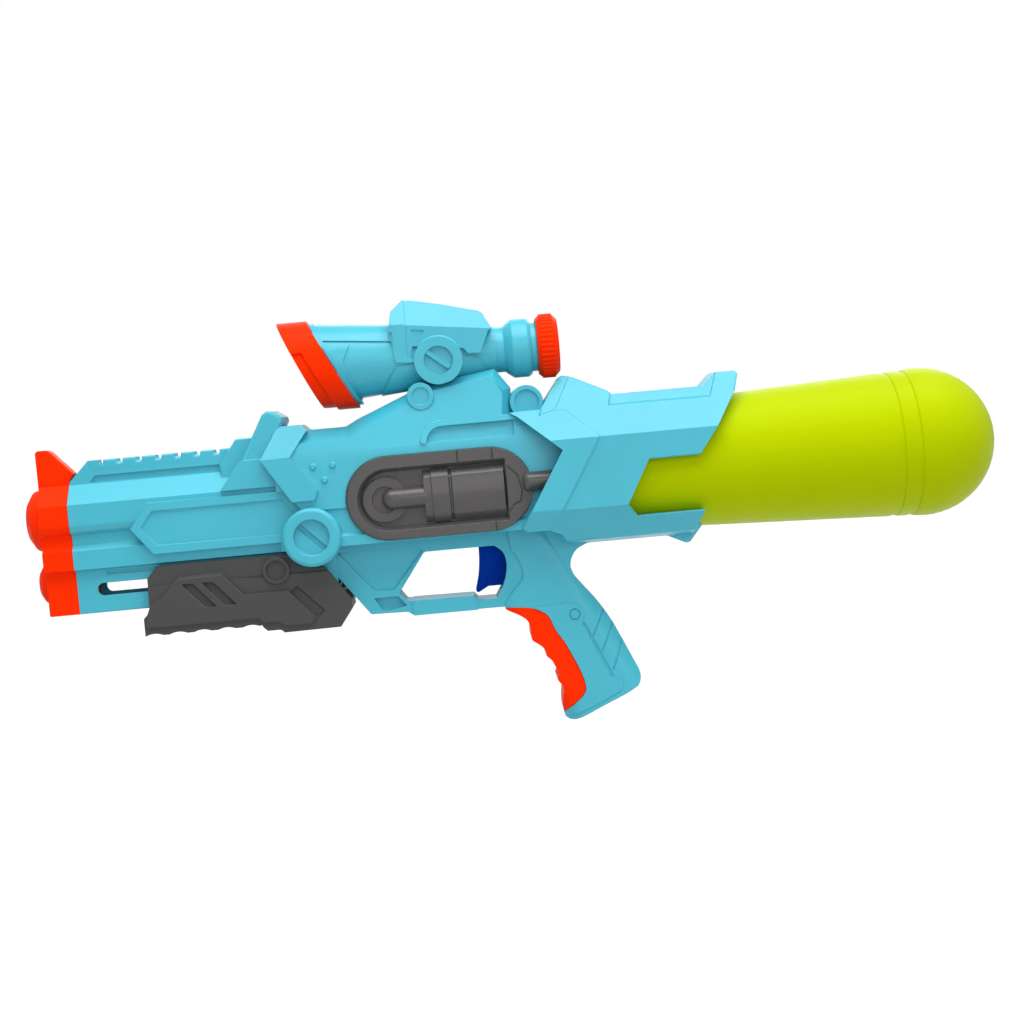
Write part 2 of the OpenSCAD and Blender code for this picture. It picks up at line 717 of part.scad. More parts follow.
// Spaces inside the casing
module casing_spaces() {
    section(barrel_space, muzzle_length - cut, strut_x + 6);
    box([body_x + 14, -barrel_half_width + 0.6, body_floor + wall],
        [body_x + 30, barrel_half_width - 0.6, crease_z - 3]);
    box([body_x + 27, -body_half_width + 4, body_floor + wall],
        [socket_x - 0.2, body_half_width - 4, crease_z - 3]);
    box([body_x + 20, -15.5, crease_z - 4], [shroud_x - 2, 15.5, 36.5]);
    box([body_x + 92, -11, 36], [shroud_x - 10, 11, 48]);
    box([strut_x - 2, -guard_half_width + wall, -51], [strut_x + 18, guard_half_width - wall,
        body_floor + 4]);
    box([pivot_x - 9, -trigger_half_width - 0.8, guard_z - 2],
        [shroud_x - 3, trigger_half_width + 0.8, body_floor + 4]);
    box([shroud_x - 4.5, -guard_half_width + wall, -45.5],
        [shroud_x + 24, guard_half_width - wall, body_floor + 4]);
    rod_x(socket_x - 0.2, tank_x + 4, socket_radius + seat_gap, 0, 0);
    turned(tank_profile(clearance + 0.5), 0);
    grip_space();
}

// Hollow of the grip behind the finger insert
module grip_space() {
    hollow = shift([[20, -56], [27, -70], [40, -89], [53, -119], [52, -128], [28, -140], [31, -136],
        [35, -126],
        [34, -119], [30, -108], [24, -96], [19, -84], [15, -78], [8, -73], [8, -56]], shroud_x, 0);
    plate(hollow, -grip_half_width + wall + 0.6, grip_half_width - wall - 0.6);
}

// Openings through the casing's walls
module casing_cuts() {
    arch_recess();
    ridge_recess();
    box([slot_front + slot_height / 2, -40, pump_z - slot_height / 2],
        [slot_rear, 40, pump_z + slot_height / 2]);
    rod_y(slot_front + slot_height / 2, pump_z, slot_height / 2, -40, 40);
    plate(stadium(panel_radius + seat_gap), body_half_width - 8, body_half_width + 20);
    plate([[muzzle_length + 18, -34.5], [muzzle_length + 18, -32], [strut_x - 12, -32],
        [strut_x - 12, -34.5]],
        lower_half_width - 1, lower_half_width + 3);
    box([pivot_x - 9, -trigger_half_width - 0.8, -66], [shroud_x - 0.5, trigger_half_width + 0.8,
        guard_z + 2]);
    box([shroud_x - 4, -shroud_half_width + 3.6, -21], [shroud_x + 38, -body_half_width, 19]);
    turned(scope_tube(seat_gap), scope_height);
    turned(scope_rear(seat_gap), scope_height);
    scope_plate(scope_low_plate, seat_gap);
    rod_x(eyepiece_x[0] - 0.8, eyepiece_x[1] + 0.8, eyepiece_radius + 0.8, 0, scope_height);
    rod_y(knob_x, knob_z, knob_radius + seat_gap, -lap, 40);
    box([foot_x[0] - seat_gap, -foot_half_width - seat_gap, foot_z - 10],
        [foot_x[1] + seat_gap, foot_half_width + seat_gap, scope_height]);
    plate(insert_region, -60, 60);
    boss_slot();
    grip_grooves();
}

// Ribs that hold the hose and the pump's cylinder
module ribs_form() {
    for (x = [gland_x + 8, piston_x - 2])
        difference() {
            section(barrel_space, x, x + 2);
            rod_x(x - cut, x + 4, hose_radius + seat_gap, 0, 0);
            rod_x(x - cut, x + 4, cylinder_radius + seat_gap, 0, pump_z);
        }
    difference() {
        section(barrel_space, muzzle_length + 30, muzzle_length + 32);
        rod_x(muzzle_length, muzzle_length + 40, hose_radius + seat_gap, 0, 0);
        box([muzzle_length, -40, -60], [muzzle_length + 40, 40, -30]);
    }
    difference() {
        box([body_x + 78, -body_half_width + 8, body_floor], [body_x + 80, lap, 12]);
        rod_x(body_x, shroud_x, hose_radius + seat_gap, 0, 0);
        box([body_x + 70, -14, -30], [body_x + 90, -3.5, -5]);
    }
}

module bosses_form() {
    for (p = shell_screw_spots)
        rod_y(p[0], p[1], boss_radius, -lap, p[2]);
    rod_y(pivot_x, pivot_z, 5, trigger_half_width + 0.8, body_half_width - 7);
    box([plunger_x + 8, -guard_half_width, plunger_z - valve_radius - 1.5],
        [plunger_x + 11, lap, plunger_z + valve_radius - 2]);
    box([valve_x + 17, -guard_half_width, plunger_z - valve_radius - 3],
        [valve_x + 20, lap, plunger_z + valve_radius - 3]);
}

// One half of the casing, drawn on the left; the right half takes the screw heads
module half_shell(is_right) {
    difference() {
        union() {
            difference() {
                union() {
                    section(barrel_profile, muzzle_length, strut_x + 4);
                    rail_form();
                    frame_form();
                    plates_form();
                    ring_boss_form();
                    body_form();
                    dots_form();
                    shroud_form();
                    guard_form();
                    grip_form(-lap);
                    web_form();
                }
                casing_spaces();
            }
            ribs_form();
            bosses_form();
        }
        casing_cuts();
        rod_x(valve_x - 3, valve_x + valve_length + 3, valve_radius + seat_gap, 0, plunger_z);
        rod_y(pivot_x, pivot_z, pin_radius + seat_gap, 0, 12);
        for (p = shell_screw_spots)
            rod_y(p[0], p[1], screw_radius + 0.05, -cut, 11);
        if (is_right)
            for (p = shell_screw_spots)
                rod_y(p[0], p[1], head_radius + 0.3, head_seat, 60);
        box([-50, 0, -200], [700, 80, 200]);
    }
}

module left_shell() {
    color(aqua)
        half_shell(false);
}

module right_shell() {
    color(aqua)
        mirror([0, 1, 0])
            half_shell(true);
}

// Self-tapping screw along Y with its head on the right; its neck seat is at distance y
module screw(x, y, z, reach) {
    translate([x, y, z])
        rotate([90, 0, 0])
            cylinder(h = y + reach, r = screw_radius);
    translate([x, y + head_height, z])
        rotate([90, 0, 0])
            cylinder(h = head_height, r = head_radius);
}

module shell_screws() {
    color([0.7, 0.7, 0.72])
        for (p = shell_screw_spots)
            screw(p[0], head_seat + 0.05, p[1], screw_reach);
}

muzzle_front = 9;
upper_tip_radius = 19.5;
lower_tip_radius = 12.8;
lower_tip_z = -37.5;
nozzle_recess = 5;
nozzle_body_radius = 5.1;

module muzzle_cap() {
    sight = [[8, barrel_top - 4], [8, 40.4], [9.4, 41.7], [14.6, 41.7], [17, 40.2],
        [muzzle_length + 2.4, 26.6],
        [muzzle_length - 0.4, barrel_top + 2], [muzzle_length - 0.4, barrel_top - 4]];
    color(orange)
        difference() {
            union() {
                section(barrel_profile, muzzle_front, muzzle_length - 0.05);
                section(inset(barrel_space, seat_gap), muzzle_length - lap, muzzle_length + 8);
                plate(sight, -5.5, 5.5);
                turned([[0, 0], [10.6, 0], [11.6, 0.3], [16.8, 3.6], [17.6, 4.5], [19, 8.6],
                    [upper_tip_radius, 10], [0, 10]], 0);
                turned([[0, 3], [6.6, 3], [7.4, 3.3], [10.8, 5.4], [11.5, 6.3], [12.4, 9],
                    [lower_tip_radius, 10], [0, 10]], lower_tip_z);
            }
            rod_x(-cut, nozzle_recess, 8.5, 0, 0);
            rod_x(-cut, muzzle_length + 10, nozzle_body_radius + seat_gap, 0, 0);
            rod_x(0, 7, 5.5, 0, lower_tip_z);
            section(inset(barrel_space, 3), muzzle_length - 12, muzzle_length + 10);
        }
}

module water_nozzle() {
    color([0.85, 0.86, 0.88])
        turned([[1, 0], [3.6, 0], [4, 0.6], [4, 3.4], [8, 3.4], [8, nozzle_recess - 0.1],
            [nozzle_body_radius, nozzle_recess - 0.1], [nozzle_body_radius, muzzle_length - 10],
            [barb_radius, muzzle_length - 8], [barb_radius, muzzle_length + 3],
            [1.6, muzzle_length + 3],
            [1.6, 7], [1, 6]], 0);
}

module outlet_hose() {
    curve = smooth([
        [shroud_x - 26, 0, 0], [shroud_x - 14, 0, -0.8], [shroud_x - 4.5, 0, -4.6],
        [shroud_x + 0.8, 0, -12],
        [valve_x + 4, 0, -20], [valve_x + 4, 0, -24], [valve_x + 4, 0, -28.6]
    ], 4);
    color([0.86, 0.9, 0.86])
        tube(concat([[muzzle_length - 7, 0, 0], [body_x, 0, 0]], curve), hose_radius, hose_bore, 14,
            [0, 1, 0]);
}

// Tapered tube of the scope [radius, x], grown by g
function scope_tube(g) = [
    [0, scope_x - 30], [scope_front_radius + 2.7 + g, scope_x - 30], [scope_rear_radius + g, scope_tail],
    [0, scope_tail]
];
// Rear end of the scope with the spigot for its cap [radius, x], grown by g
function scope_rear(g) = [
    [0, scope_tail - 2], [13.4 + g, scope_tail - 2], [13.4 + g, scope_tail + 5],
    [14.4 + g, scope_tail + 6],
    [17.4 + g, scope_tail + 10], [17.4 + g, scope_tail + 19], [15.8 + g, scope_tail + 21],
    [14.5 + g, scope_tail + 21], [14.5 + g, scope_tail + 24.5], [13.2 + g, scope_tail + 25.5],
    [13.2 + g, scope_tail + 29], [14.5 + g, scope_tail + 30], [14.5 + g, scope_tail + 34],
    [0, scope_tail + 34]
];
// Tapered hole through the scope [radius, x], made smaller by g
function scope_hole(g) = [
    [0, scope_x - 40], [scope_front_radius + 1.2 - g, scope_x - 40],
    [scope_rear_radius - 2.4 - g, scope_tail - 2], [10.6 - g, scope_tail + 2],
    [10.6 - g, scope_tail + 40], [0, scope_tail + 40]
];
hood_rear = scope_x + 8.4;
// Corner of the scope's slanted front, d behind the hood's face, at height dz from the axis
function slant(d, dz) = [hood_rear + d - scope_lean * dz, scope_height + dz];

// Raised plates on the scope's tube
scope_top_plate = [slant(2.6, 40), slant(2.6, 13.9), [scope_x + 44, scope_height + 10.2],
    [scope_x + 44, scope_height + 40]];
scope_collar = [slant(2.6, 12.4), [scope_x + 19.9, scope_height + 10.4],
    [scope_x + 15.5, scope_height + 0.6],
    [scope_x + 24.6, scope_height - 24.7], slant(2.6, -29)];
scope_low_plate = shift([[35.2, -21.2], [45.6, -5.4], [59.8, -3.4], [86.3, -2], [95.3, -4], [96.4, -8.2],
    [100.1, -13], [98.5, -15.1], [98.5, -34], [35.2, -34]],
    scope_x, scope_height);
scope_plate_proud = 0.9;
module scope_plate(points, g) {
    intersection() {
        turned(scope_tube(scope_plate_proud + g), scope_height);
        plate(inset(ordered(points), -g), -60, 60);
    }
}

// One half of the scope, drawn on the left; the right half takes the screw heads
module half_scope(is_right) {
    strap = shift([[45.2, 19.3], [51.7, 19.4], [53, 17.8], [52.9, 0.4], [57.8, -1.8], [56.7, -3.6],
        [46.1, -2.7], [45.1, -0.7]],
        scope_x, scope_height);
    turret = shift([[44, -0.4], [54, -1], [56.5, 6], [86, 2], [88, -0.8], [95.6, -1.2], [101.8, 12.4],
        [53, 18.6], [44.4, 20]],
        scope_x, scope_height);
    roof = shift([[43.4, 10], [43.4, 16], [45.6, 27], [52, 33], [56, 33.6], [74, 29.8], [97, 23.6],
        [99.4, 21.6], [103.4, 13], [100, 10]],
        scope_x, scope_height);
    band = shift([[43, 15], [45.2, 27.3], [51.8, 33.4], [53.2, 33.9], [53.2, 15]], scope_x, scope_height);
    module roof_slopes(g) {
        translate([scope_x + 53, 0, scope_height + 18.7])
            rotate([0, 7.2, 0])
                section(whole([[8.6 + g, 16], [19.4 + g, 0], [19.4 + g, -30]]), -20, 60);
    }
    difference() {
        union() {
            difference() {
                turned(scope_tube(0), scope_height);
                plate([slant(0, 40), slant(0, -40), [scope_x - 60, scope_height - 40],
                    [scope_x - 60, scope_height + 40]],
                    -60, 60);
            }
            intersection() {
                rod_x(scope_x - 30, scope_x + 40, scope_front_radius + 1.6, 0, scope_height);
                plate([slant(0, 40), slant(3, 40), slant(3, -40), slant(0, -40)], -60, 60);
            }
            for (points = [scope_top_plate, scope_collar, scope_low_plate])
                scope_plate(points, 0);
            turned(scope_rear(0), scope_height);
            plate(turret, -lap, 19.5);
            plate(strap, 6, 20.4);
            intersection() {
                plate(roof, -lap, 30);
                roof_slopes(0);
            }
            intersection() {
                plate(band, -lap, 30);
                roof_slopes(0.9);
            }
            difference() {
                rod_y(knob_x, knob_z, knob_radius, 4, 22.5);
                rod_y(knob_x, knob_z, knob_radius - 5.8, 20, 30);
            }
            translate([knob_x, 0, knob_z])
                rotate([0, 38, 0])
                    box([-8.2, -22.2, -1.5], [8.2, -18, 1.5]);
            box([foot_x[0], -foot_half_width, foot_z], [foot_x[1], lap, scope_height - 10]);
        }
        turned(scope_hole(0), scope_height);
        plate(shift([[55.9, 15.7], [64.3, 14.6], [59.3, 8.1]], scope_x, scope_height), 18.7, 30);
        for (p = scope_screw_spots)
            rod_y(p[0], p[1], screw_radius + 0.05, -cut, 11);
        if (is_right)
            for (p = scope_screw_spots)
                rod_y(p[0], p[1], head_radius + 0.3, head_seat, 60);
        box([-50, 0, -200], [700, 80, 200]);
    }
}

module scope_left_shell() {
    color(aqua)
        half_scope(false);
}

module scope_right_shell() {
    color(aqua)
        mirror([0, 1, 0])
            half_scope(true);
}

module scope_screws() {
    color([0.7, 0.7, 0.72])
        for (p = scope_screw_spots)
            screw(p[0], head_seat + 0.05, p[1], screw_reach);
}

// Slanted hood with a spigot into the scope's front
module scope_hood() {
    hood_radius = scope_front_radius + 3.4;
    function front(d, dz) = [scope_x - 11.1 + d - 0.455 * dz, scope_height + dz];
    color(orange)
        difference() {
            union() {
                intersection() {
                    turned([[0, scope_x - 60], [hood_radius, scope_x - 60], [hood_radius, scope_x + 60],
                        [0, scope_x + 60]],
                        scope_height);
                    plate([front(0, 40), slant(-seat_gap, 40), slant(-seat_gap, -40), front(0, -40)],
                        -60, 60);
                }
                intersection() {
                    rod_x(scope_x - 40, scope_x + 60, scope_front_radius - 3, 0, scope_height);
                    turned(scope_hole(2 * seat_gap), scope_height);
                    plate([slant(-2, 40), slant(6, 40), slant(6, -40), slant(-2, -40)], -60, 60);
                }
            }
            rod_x(scope_x - 60, scope_x + 60, scope_front_radius - 5.5, 0, scope_height);
            difference() {
                plate([front(-5, 7.5), front(6, 7.5), front(8, -30), front(-5, -30)], -60, 60);
                rod_x(scope_x - 60, scope_x + 60, hood_radius - 1.6, 0, scope_height);
            }
        }
}

// Ribbed cap that turns on the scope's rear spigot
module eyepiece_cap() {
    x0 = eyepiece_x[0];
    x1 = eyepiece_x[1];
    ribs = [for (i = [0:eyepiece_ribs - 1]) for (k = [0:3])
        let(a = 360 * (i + k / 4) / eyepiece_ribs, r = eyepiece_radius - (k < 2 ? 0 : 0.55)) [r * cos(a),
            r * sin(a)]];
    color(orange)
        difference() {
            union() {
                turned([[0, x0], [eyepiece_radius - 2.5, x0], [eyepiece_radius - 0.9, x0 + 1.8],
                    [eyepiece_radius - 0.9, x1 - 2.5], [eyepiece_radius - 3.4, x1], [0, x1]],
                    scope_height);
                translate([x0 + 2.2, 0, scope_height])
                    rotate([90, 0, 90])
                        linear_extrude(x1 - x0 - 5)
                            polygon(ribs);
            }
            turned([[0, x0 - cut], [14.5 + clearance, x0 - cut], [14.5 + clearance, scope_tail + 25.7],
                [13.2 + clearance, scope_tail + 26.2], [13.2 + clearance, scope_tail + 28.3],
                [14.5 + clearance, scope_tail + 29.4], [14.5 + clearance, scope_tail + 34.4],
                [9, scope_tail + 34.4],
                [9, x1 + cut], [0, x1 + cut]], scope_height);
        }
}

// Side panel with the moulded cylinder and pipe, drawn on the left
module side_panel() {
    face = body_half_width + panel_proud;
    floor_y = face - 5.6;
    mid_z = panel_z - 0.8;
    recess = concat([[shroud_x - 8, mid_z - 16.1], [shroud_x - 8, mid_z + 16.1]],
        arc(panel_x0 + 0.4, mid_z, 16.1, 90, 270, 20));
    end_cap = [[-11, 14.5], [-7.7, 14.5], [-3.6, 11.8], [1.2, 6.7], [3.4, -2.3], [2, -8.6], [-2.7, -10.6],
        [-6.1, -15.5], [-11, -16.1]];
    pipe_end = [for (a = [0:15:90]) [6.4 * sin(a), panel_x0 + 2.8 - 6.4 * cos(a)]];
    barrel_bulge = [[-15.2, floor_y - 1], [-15.2, floor_y + 1.2], [-11, face - 1.2], [-4, face + 0.8],
        [4, face + 0.8],
        [11, face - 1.2], [15.2, floor_y + 1.2], [15.2, floor_y - 1]];
    module bulge(x0, x1, k) {
        section([for (p = barrel_bulge) [-p[1] - k, mid_z + p[0] * (1 + k / 30)]], x0, x1);
    }
    difference() {
        union() {
            plate(stadium(panel_radius), body_half_width - 5.2, face);
            intersection() {
                plate(stadium(panel_radius + 3), body_half_width - 6.2, body_half_width - 4.2);
                box([0, -60, body_floor + wall + 0.2], [far, 0, crease_z - 3.2]);
            }
            translate([0, -body_half_width - 2, 0])
                turned([[0, shroud_x + 3.6], [3.4, shroud_x + 3.6], [5, shroud_x + 4.6],
                    [5.7, shroud_x + 6.4], [5.7, shroud_x + 34], [0, shroud_x + 34]],
                    mid_z + 3.2);
        }
        sloped_plate(recess, floor_y, floor_y + 1.2, face + 1, -2.6);
        difference() {
            plate(shift(end_cap, shroud_x, panel_z), face - 0.8, face + 5);
            plate(inset(ordered(shift(end_cap, shroud_x, panel_z)), 0.8), face - 2, face + 9);
        }
        for (x = [shroud_x - 33.5, shroud_x - 13.1])
            box([x - 0.3, -face - 1, mid_z + 16.4], [x + 0.3, -face + 0.8, mid_z + 40]);
        box([shroud_x - 14.5, -face - 1, mid_z - 40], [shroud_x - 13.9, -face + 0.8, mid_z - 16.4]);
        box([shroud_x - 20, -body_half_width + 4.2, -40], [shroud_x + 50, 0, 40]);
        box([shroud_x + 7.4, -body_half_width - 0.2, -40], [shroud_x + 50, 0, 40]);
    }
    difference() {
        rod_y(panel_x0 - 1.6, mid_z, 13.2, floor_y - 1, floor_y + 2.6);
        rod_y(panel_x0 - 1.6, mid_z, 7.8, floor_y + 0.4, face);
    }
    intersection() {
        translate([0, -floor_y - 0.6, 0])
            turned(concat(pipe_end, [[6.4, panel_x0 + 24], [0, panel_x0 + 24]]), mid_z);
        box([panel_x0 - 20, -face - 5, -60], [panel_x0 + 60, -floor_y + 1, 60]);
    }
    bulge(panel_x0 + 21.5, panel_x0 + 26.2, 0);
    bulge(panel_x0 + 26, panel_x0 + 36.4, 0.7);
    bulge(panel_x0 + 36.2, panel_x0 + 38, -0.9);
    bulge(panel_x0 + 37.8, shroud_x - 7.3, 0.2);
}

module left_side_panel() {
    color(panel_grey)
        side_panel();
}

module right_side_panel() {
    color(panel_grey)
        mirror([0, 1, 0])
            side_panel();
}

// Finger insert at the front of the grip, with its three ridges
module finger_grip() {
    color(orange)
        intersection() {
            plate(grip_outline, -60, 60);
            grip_prism(0);
            plate(inset(ordered(insert_region), seat_gap), -60, 60);
        }
}

module trigger() {
    outline = concat(
        shift(smooth([[-25.7, -33], [-25.7, -38.8], [-26, -46.8], [-27, -54.7], [-28.5, -60.7],
            [-29.4, -64.4], [-28.2, -65.7],
            [-25.5, -64.6], [-22, -62.7]], 3), shroud_x, 0),
        shift([[-11.2, -62.7], [-10, -58], [-10, -33]], shroud_x, 0)
    );
    color(blue)
        difference() {
            union() {
                plate(outline, -trigger_half_width, trigger_half_width);
                rod_y(pivot_x, pivot_z, 5.6, -trigger_half_width + 0.1, trigger_half_width - 0.1);
                plate([[pivot_x - 3.5, pivot_z], [pivot_x - 3.5, -36], [shroud_x - 11, -36],
                    [pivot_x + 5.2, pivot_z + 2]],
                    -trigger_half_width + 0.3, trigger_half_width - 0.3);
                rod_y(plunger_x - 2.2, plunger_z, 2, -3, 3);
            }
            rod_y(pivot_x, pivot_z, pin_radius + 0.08, -20, 20);
            for (s = [-1, 1])
                on_side(s)
                    plate(shift([[-13.6, -46], [-6, -44], [-6, -70], [-27.2, -66.8]], shroud_x, 0),
                        trigger_half_width - 0.9, 10);
        }
}

module trigger_pin() {
    color([0.75, 0.75, 0.77])
        rod_y(pivot_x, pivot_z, pin_radius, -11.5, 11.5);
}

module valve_body() {
    inlet_x = valve_x + 15;
    outlet_x = valve_x + 4;
    color([0.92, 0.92, 0.9])
        difference() {
            union() {
                rod_x(valve_x, valve_x + valve_length, valve_radius, 0, plunger_z);
                for (x = [inlet_x, outlet_x])
                    translate([x, 0, plunger_z + 2])
                        cylinder(h = 9.4, r = barb_radius);
            }
            rod_x(valve_x - cut, valve_x + valve_length - 3, plunger_radius + 0.15, 0, plunger_z);
            for (x = [inlet_x, outlet_x])
                translate([x, 0, plunger_z])
                    cylinder(h = 20, r = 1.4);
        }
}

module valve_plunger() {
    color([0.2, 0.2, 0.22])
        turned([[0, plunger_x], [plunger_radius - 0.6, plunger_x], [plunger_radius, plunger_x + 0.6],
            [plunger_radius, valve_x + 7], [plunger_radius - 0.8, valve_x + 7],
            [plunger_radius - 0.8, valve_x + 8.2],
            [plunger_radius, valve_x + 8.2], [plunger_radius, valve_x + 12.6], [0, valve_x + 12.6]],
            plunger_z);
}

module plunger_o_ring() {
    color([0.08, 0.08, 0.08])
        translate([valve_x + 7.6, 0, plunger_z])
            rotate([0, 90, 0])
                rotate_extrude()
                    translate([plunger_radius - 0.34, 0])
                        circle(r = 0.42, $fn = 24);
}

module valve_spring() {
    x0 = valve_x + 13.1;
    x1 = valve_x + valve_length - 3.5;
    turns = 4;
    steps = 14;
    path = [for (i = [0:turns * steps]) let(a = 360 * i / steps)
        [x0 + (x1 - x0) * i / (turns * steps), 2.2 * cos(a), plunger_z + 2.2 * sin(a)]];
    color([0.75, 0.75, 0.77])
        tube(path, 0.4, 0, 6, [1, 0, 0]);
}

// Pump grip: plates beside the lower barrel, joined under it
pump_outline = concat(
    shift([[-4, -38.3], [2.8, -31.4]], link_x, 0),
    arc(boss_x, boss_z, 17.9, 210.2, 270, 8),
    shift([[-3.4, -40.3], [11.4, -61.5], [11.2, -66.8], [3.6, -77], [-29.7, -77.4], [-31.7, -75.4],
        [-40.5, -75.4], [-42.4, -72]],
        strut_x, 0),
    shift([[-8, -72.2], [-8, -61.8], [-4, -57.9]], link_x, 0)
);
pump_raised = concat(
    shift([[-3, -53.5], [2.8, -51], [13.6, -39.7], [40, -39.4], [51.8, -52.5]], link_x, 0),
    shift([[-23.8, -52.5], [-9, -68.5], [-13, -73.5], [-28, -73.5], [-33, -70.5], [-42, -70.5],
        [-44, -67.5]], strut_x, 0),
    shift([[-6.6, -67.5], [-6.6, -62]], link_x, 0)
);
channel_gap = clearance + 0.1;
pump_screw_spots = [[link_x + 24, -64.9], [strut_x - 12, -67]];

module half_pump_grip(is_right) {
    slot_a = shift([[16.5, -43.6], [22.4, -43.6], [35.1, -57.8], [29.2, -57.8]], link_x, 0);
    slot_c = shift([[-24.3, -53.4], [-19.8, -51], [-5.2, -66.2], [-9.1, -70.6]], strut_x, 0);
    scallop_pitch = 14.2;
    scallop_radius = 12;
    difference() {
        union() {
            difference() {
                plate(pump_outline, -lap, pump_grip_half_width - 2);
                box([0, -60, pump_z - 0.4], [strut_x + 40, -pump_grip_half_width + 3.1, 0]);
                for (i = [0:4])
                    rod_y(link_x - 2.6 + scallop_pitch * i, -72.2 - scallop_radius + 1.2, scallop_radius,
                        -cut, 40);
            }
            plate(pump_raised, 16.5, pump_grip_half_width);
            rod_y(strut_x - 31.2, -40.2, 8, 17, pump_grip_half_width - 0.4);
        }
        box([0, -lower_half_width - channel_gap, -barrel_depth - channel_gap], [400, 20, 20]);
        box([link_x + 4, -pump_grip_half_width + 5, -69], [strut_x - 46, 20, -59.2]);
        plate(slot_a, pump_grip_half_width - 2.6, 40);
        plate(shift(slot_a, 11.6, 0), pump_grip_half_width - 2.6, 40);
        plate(slot_c, pump_grip_half_width - 3.6, 40);
        rod_y(strut_x - 31.2, -40.2, 6, pump_grip_half_width - 2.4, 40);
        box([link_x - seat_gap, -20 - seat_gap, pump_z - slot_height / 2 + clearance - seat_gap],
            [link_x + link_length + seat_gap, 20, pump_z + slot_height / 2 - clearance + seat_gap]);
        for (p = pump_screw_spots)
            rod_y(p[0], p[1], screw_radius + 0.05, -cut, 11);
        if (is_right)
            for (p = pump_screw_spots)
                rod_y(p[0], p[1], head_radius + 0.3, head_seat, 60);
        box([-50, 0, -200], [700, 80, 200]);
    }
    difference() {
        rod_y(pump_screw_spots[0][0], pump_screw_spots[0][1], boss_radius, 0, pump_grip_half_width - 4);
        rod_y(pump_screw_spots[0][0], pump_screw_spots[0][1], screw_radius + 0.05, -cut, 11);
        if (is_right)
            rod_y(pump_screw_spots[0][0], pump_screw_spots[0][1], head_radius + 0.3, head_seat, 60);
    }
}

module pump_grip_left() {
    color(dark_grey)
        half_pump_grip(false);
}

module pump_grip_right() {
    color(dark_grey)
        mirror([0, 1, 0])
            half_pump_grip(true);
}

module pump_grip_screws() {
    color([0.7, 0.7, 0.72])
        for (p = pump_screw_spots)
            screw(p[0], head_seat + 0.05, p[1], screw_reach);
}

// Cross bar that joins the pump grip to the rod through the barrel's slots
module pump_link() {
    h = slot_height / 2 - clearance;
    color(dark_grey)
        difference() {
            union() {
                box([link_x + h, -20, pump_z - h], [link_x + link_length, 20, pump_z + h]);
                rod_y(link_x + h, pump_z, h, -20, 20);
                rod_x(link_x + 1, link_x + link_length - 0.5, rod_radius + 2.5, 0, pump_z);
            }
            rod_x(link_x + 4, link_x + link_length + cut, rod_radius + 0.05, 0, pump_z);
        }
}

module piston_rod() {
    color([0.9, 0.9, 0.88])
        rod_x(link_x + 4.1, piston_x + 5.9, rod_radius, 0, pump_z);
}

module piston() {
    color([0.9, 0.9, 0.88])
        difference() {
            turned([[0, piston_x], [cylinder_bore - 0.2, piston_x], [cylinder_bore - 0.2, piston_x + 3],
                [cylinder_bore - 1.9, piston_x + 3], [cylinder_bore - 1.9, piston_x + 5],
                [cylinder_bore - 0.2, piston_x + 5],
                [cylinder_bore - 0.2, piston_x + piston_length], [0, piston_x + piston_length]], pump_z);
            rod_x(piston_x - cut, piston_x + 6, rod_radius + 0.05, 0, pump_z);
        }
}

module piston_o_ring() {
    color([0.08, 0.08, 0.08])
        translate([piston_x + 4, 0, pump_z])
            rotate([0, 90, 0])
                rotate_extrude()
                    translate([cylinder_bore - 0.95, 0])
                        circle(r = 0.87, $fn = 24);
}

module pump_cylinder() {
    color([0.92, 0.93, 0.92])
        turned([[cylinder_bore, gland_x], [cylinder_radius, gland_x], [cylinder_radius, head_x],
            [cylinder_bore, head_x]],
            pump_z);
}

module cylinder_gland() {
    color([0.92, 0.93, 0.92])
        turned([[rod_radius + 0.08, gland_x - 3], [cylinder_radius, gland_x - 3],
            [cylinder_radius, gland_x - 0.05],
            [cylinder_bore - 0.05, gland_x - 0.05], [cylinder_bore - 0.05, gland_x + gland_length],
            [rod_radius + 0.08, gland_x + gland_length]], pump_z);
}

module cylinder_head() {
    color([0.92, 0.93, 0.92])
        turned([[1.4, head_x + 2.2], [4.2, head_x + 2.2], [4.2, head_x + 0.05],
            [cylinder_radius, head_x + 0.05],
            [cylinder_radius, head_x + head_length], [barb_radius, head_x + head_length],
            [barb_radius, head_x + head_length + barb_length],
            [1.4, head_x + head_length + barb_length]], pump_z);
}

module check_valve() {
    color([0.1, 0.1, 0.1])
        turned([[0, head_x + 0.4], [4.1, head_x + 0.4], [4.1, head_x + 1.6], [1.2, head_x + 1.6],
            [1.2, head_x + 4.4],
            [0, head_x + 4.4]], pump_z);
}

module air_hose() {
    x0 = head_x + head_length + 0.4;
    path = smooth([
        [x0, 0, pump_z], [x0 + 4.5, 0, pump_z], [x0 + 9, 0, pump_z], [strut_x + 2, -1, -41],
        [strut_x + 9, -4, -33.2],
        [strut_x + 17, -7, -22.4],
        [strut_x + 30, -8, -20], [body_x + 83, -8, -15.6], [body_x + 103, -8, -12.6],
        [shroud_x - 10, -8, -12.4],
        [shroud_x, -port_y - 0.6, -8], [socket_x - 15, -port_y, -0.8], [socket_x - 10, -port_y, 0],
        [socket_x - 7, -port_y, 0], [socket_x - 3.6, -port_y, 0]
    ], 3);
    color([0.2, 0.2, 0.22])
        tube(path, hose_radius, hose_bore, 12, [0, 1, 0]);
}

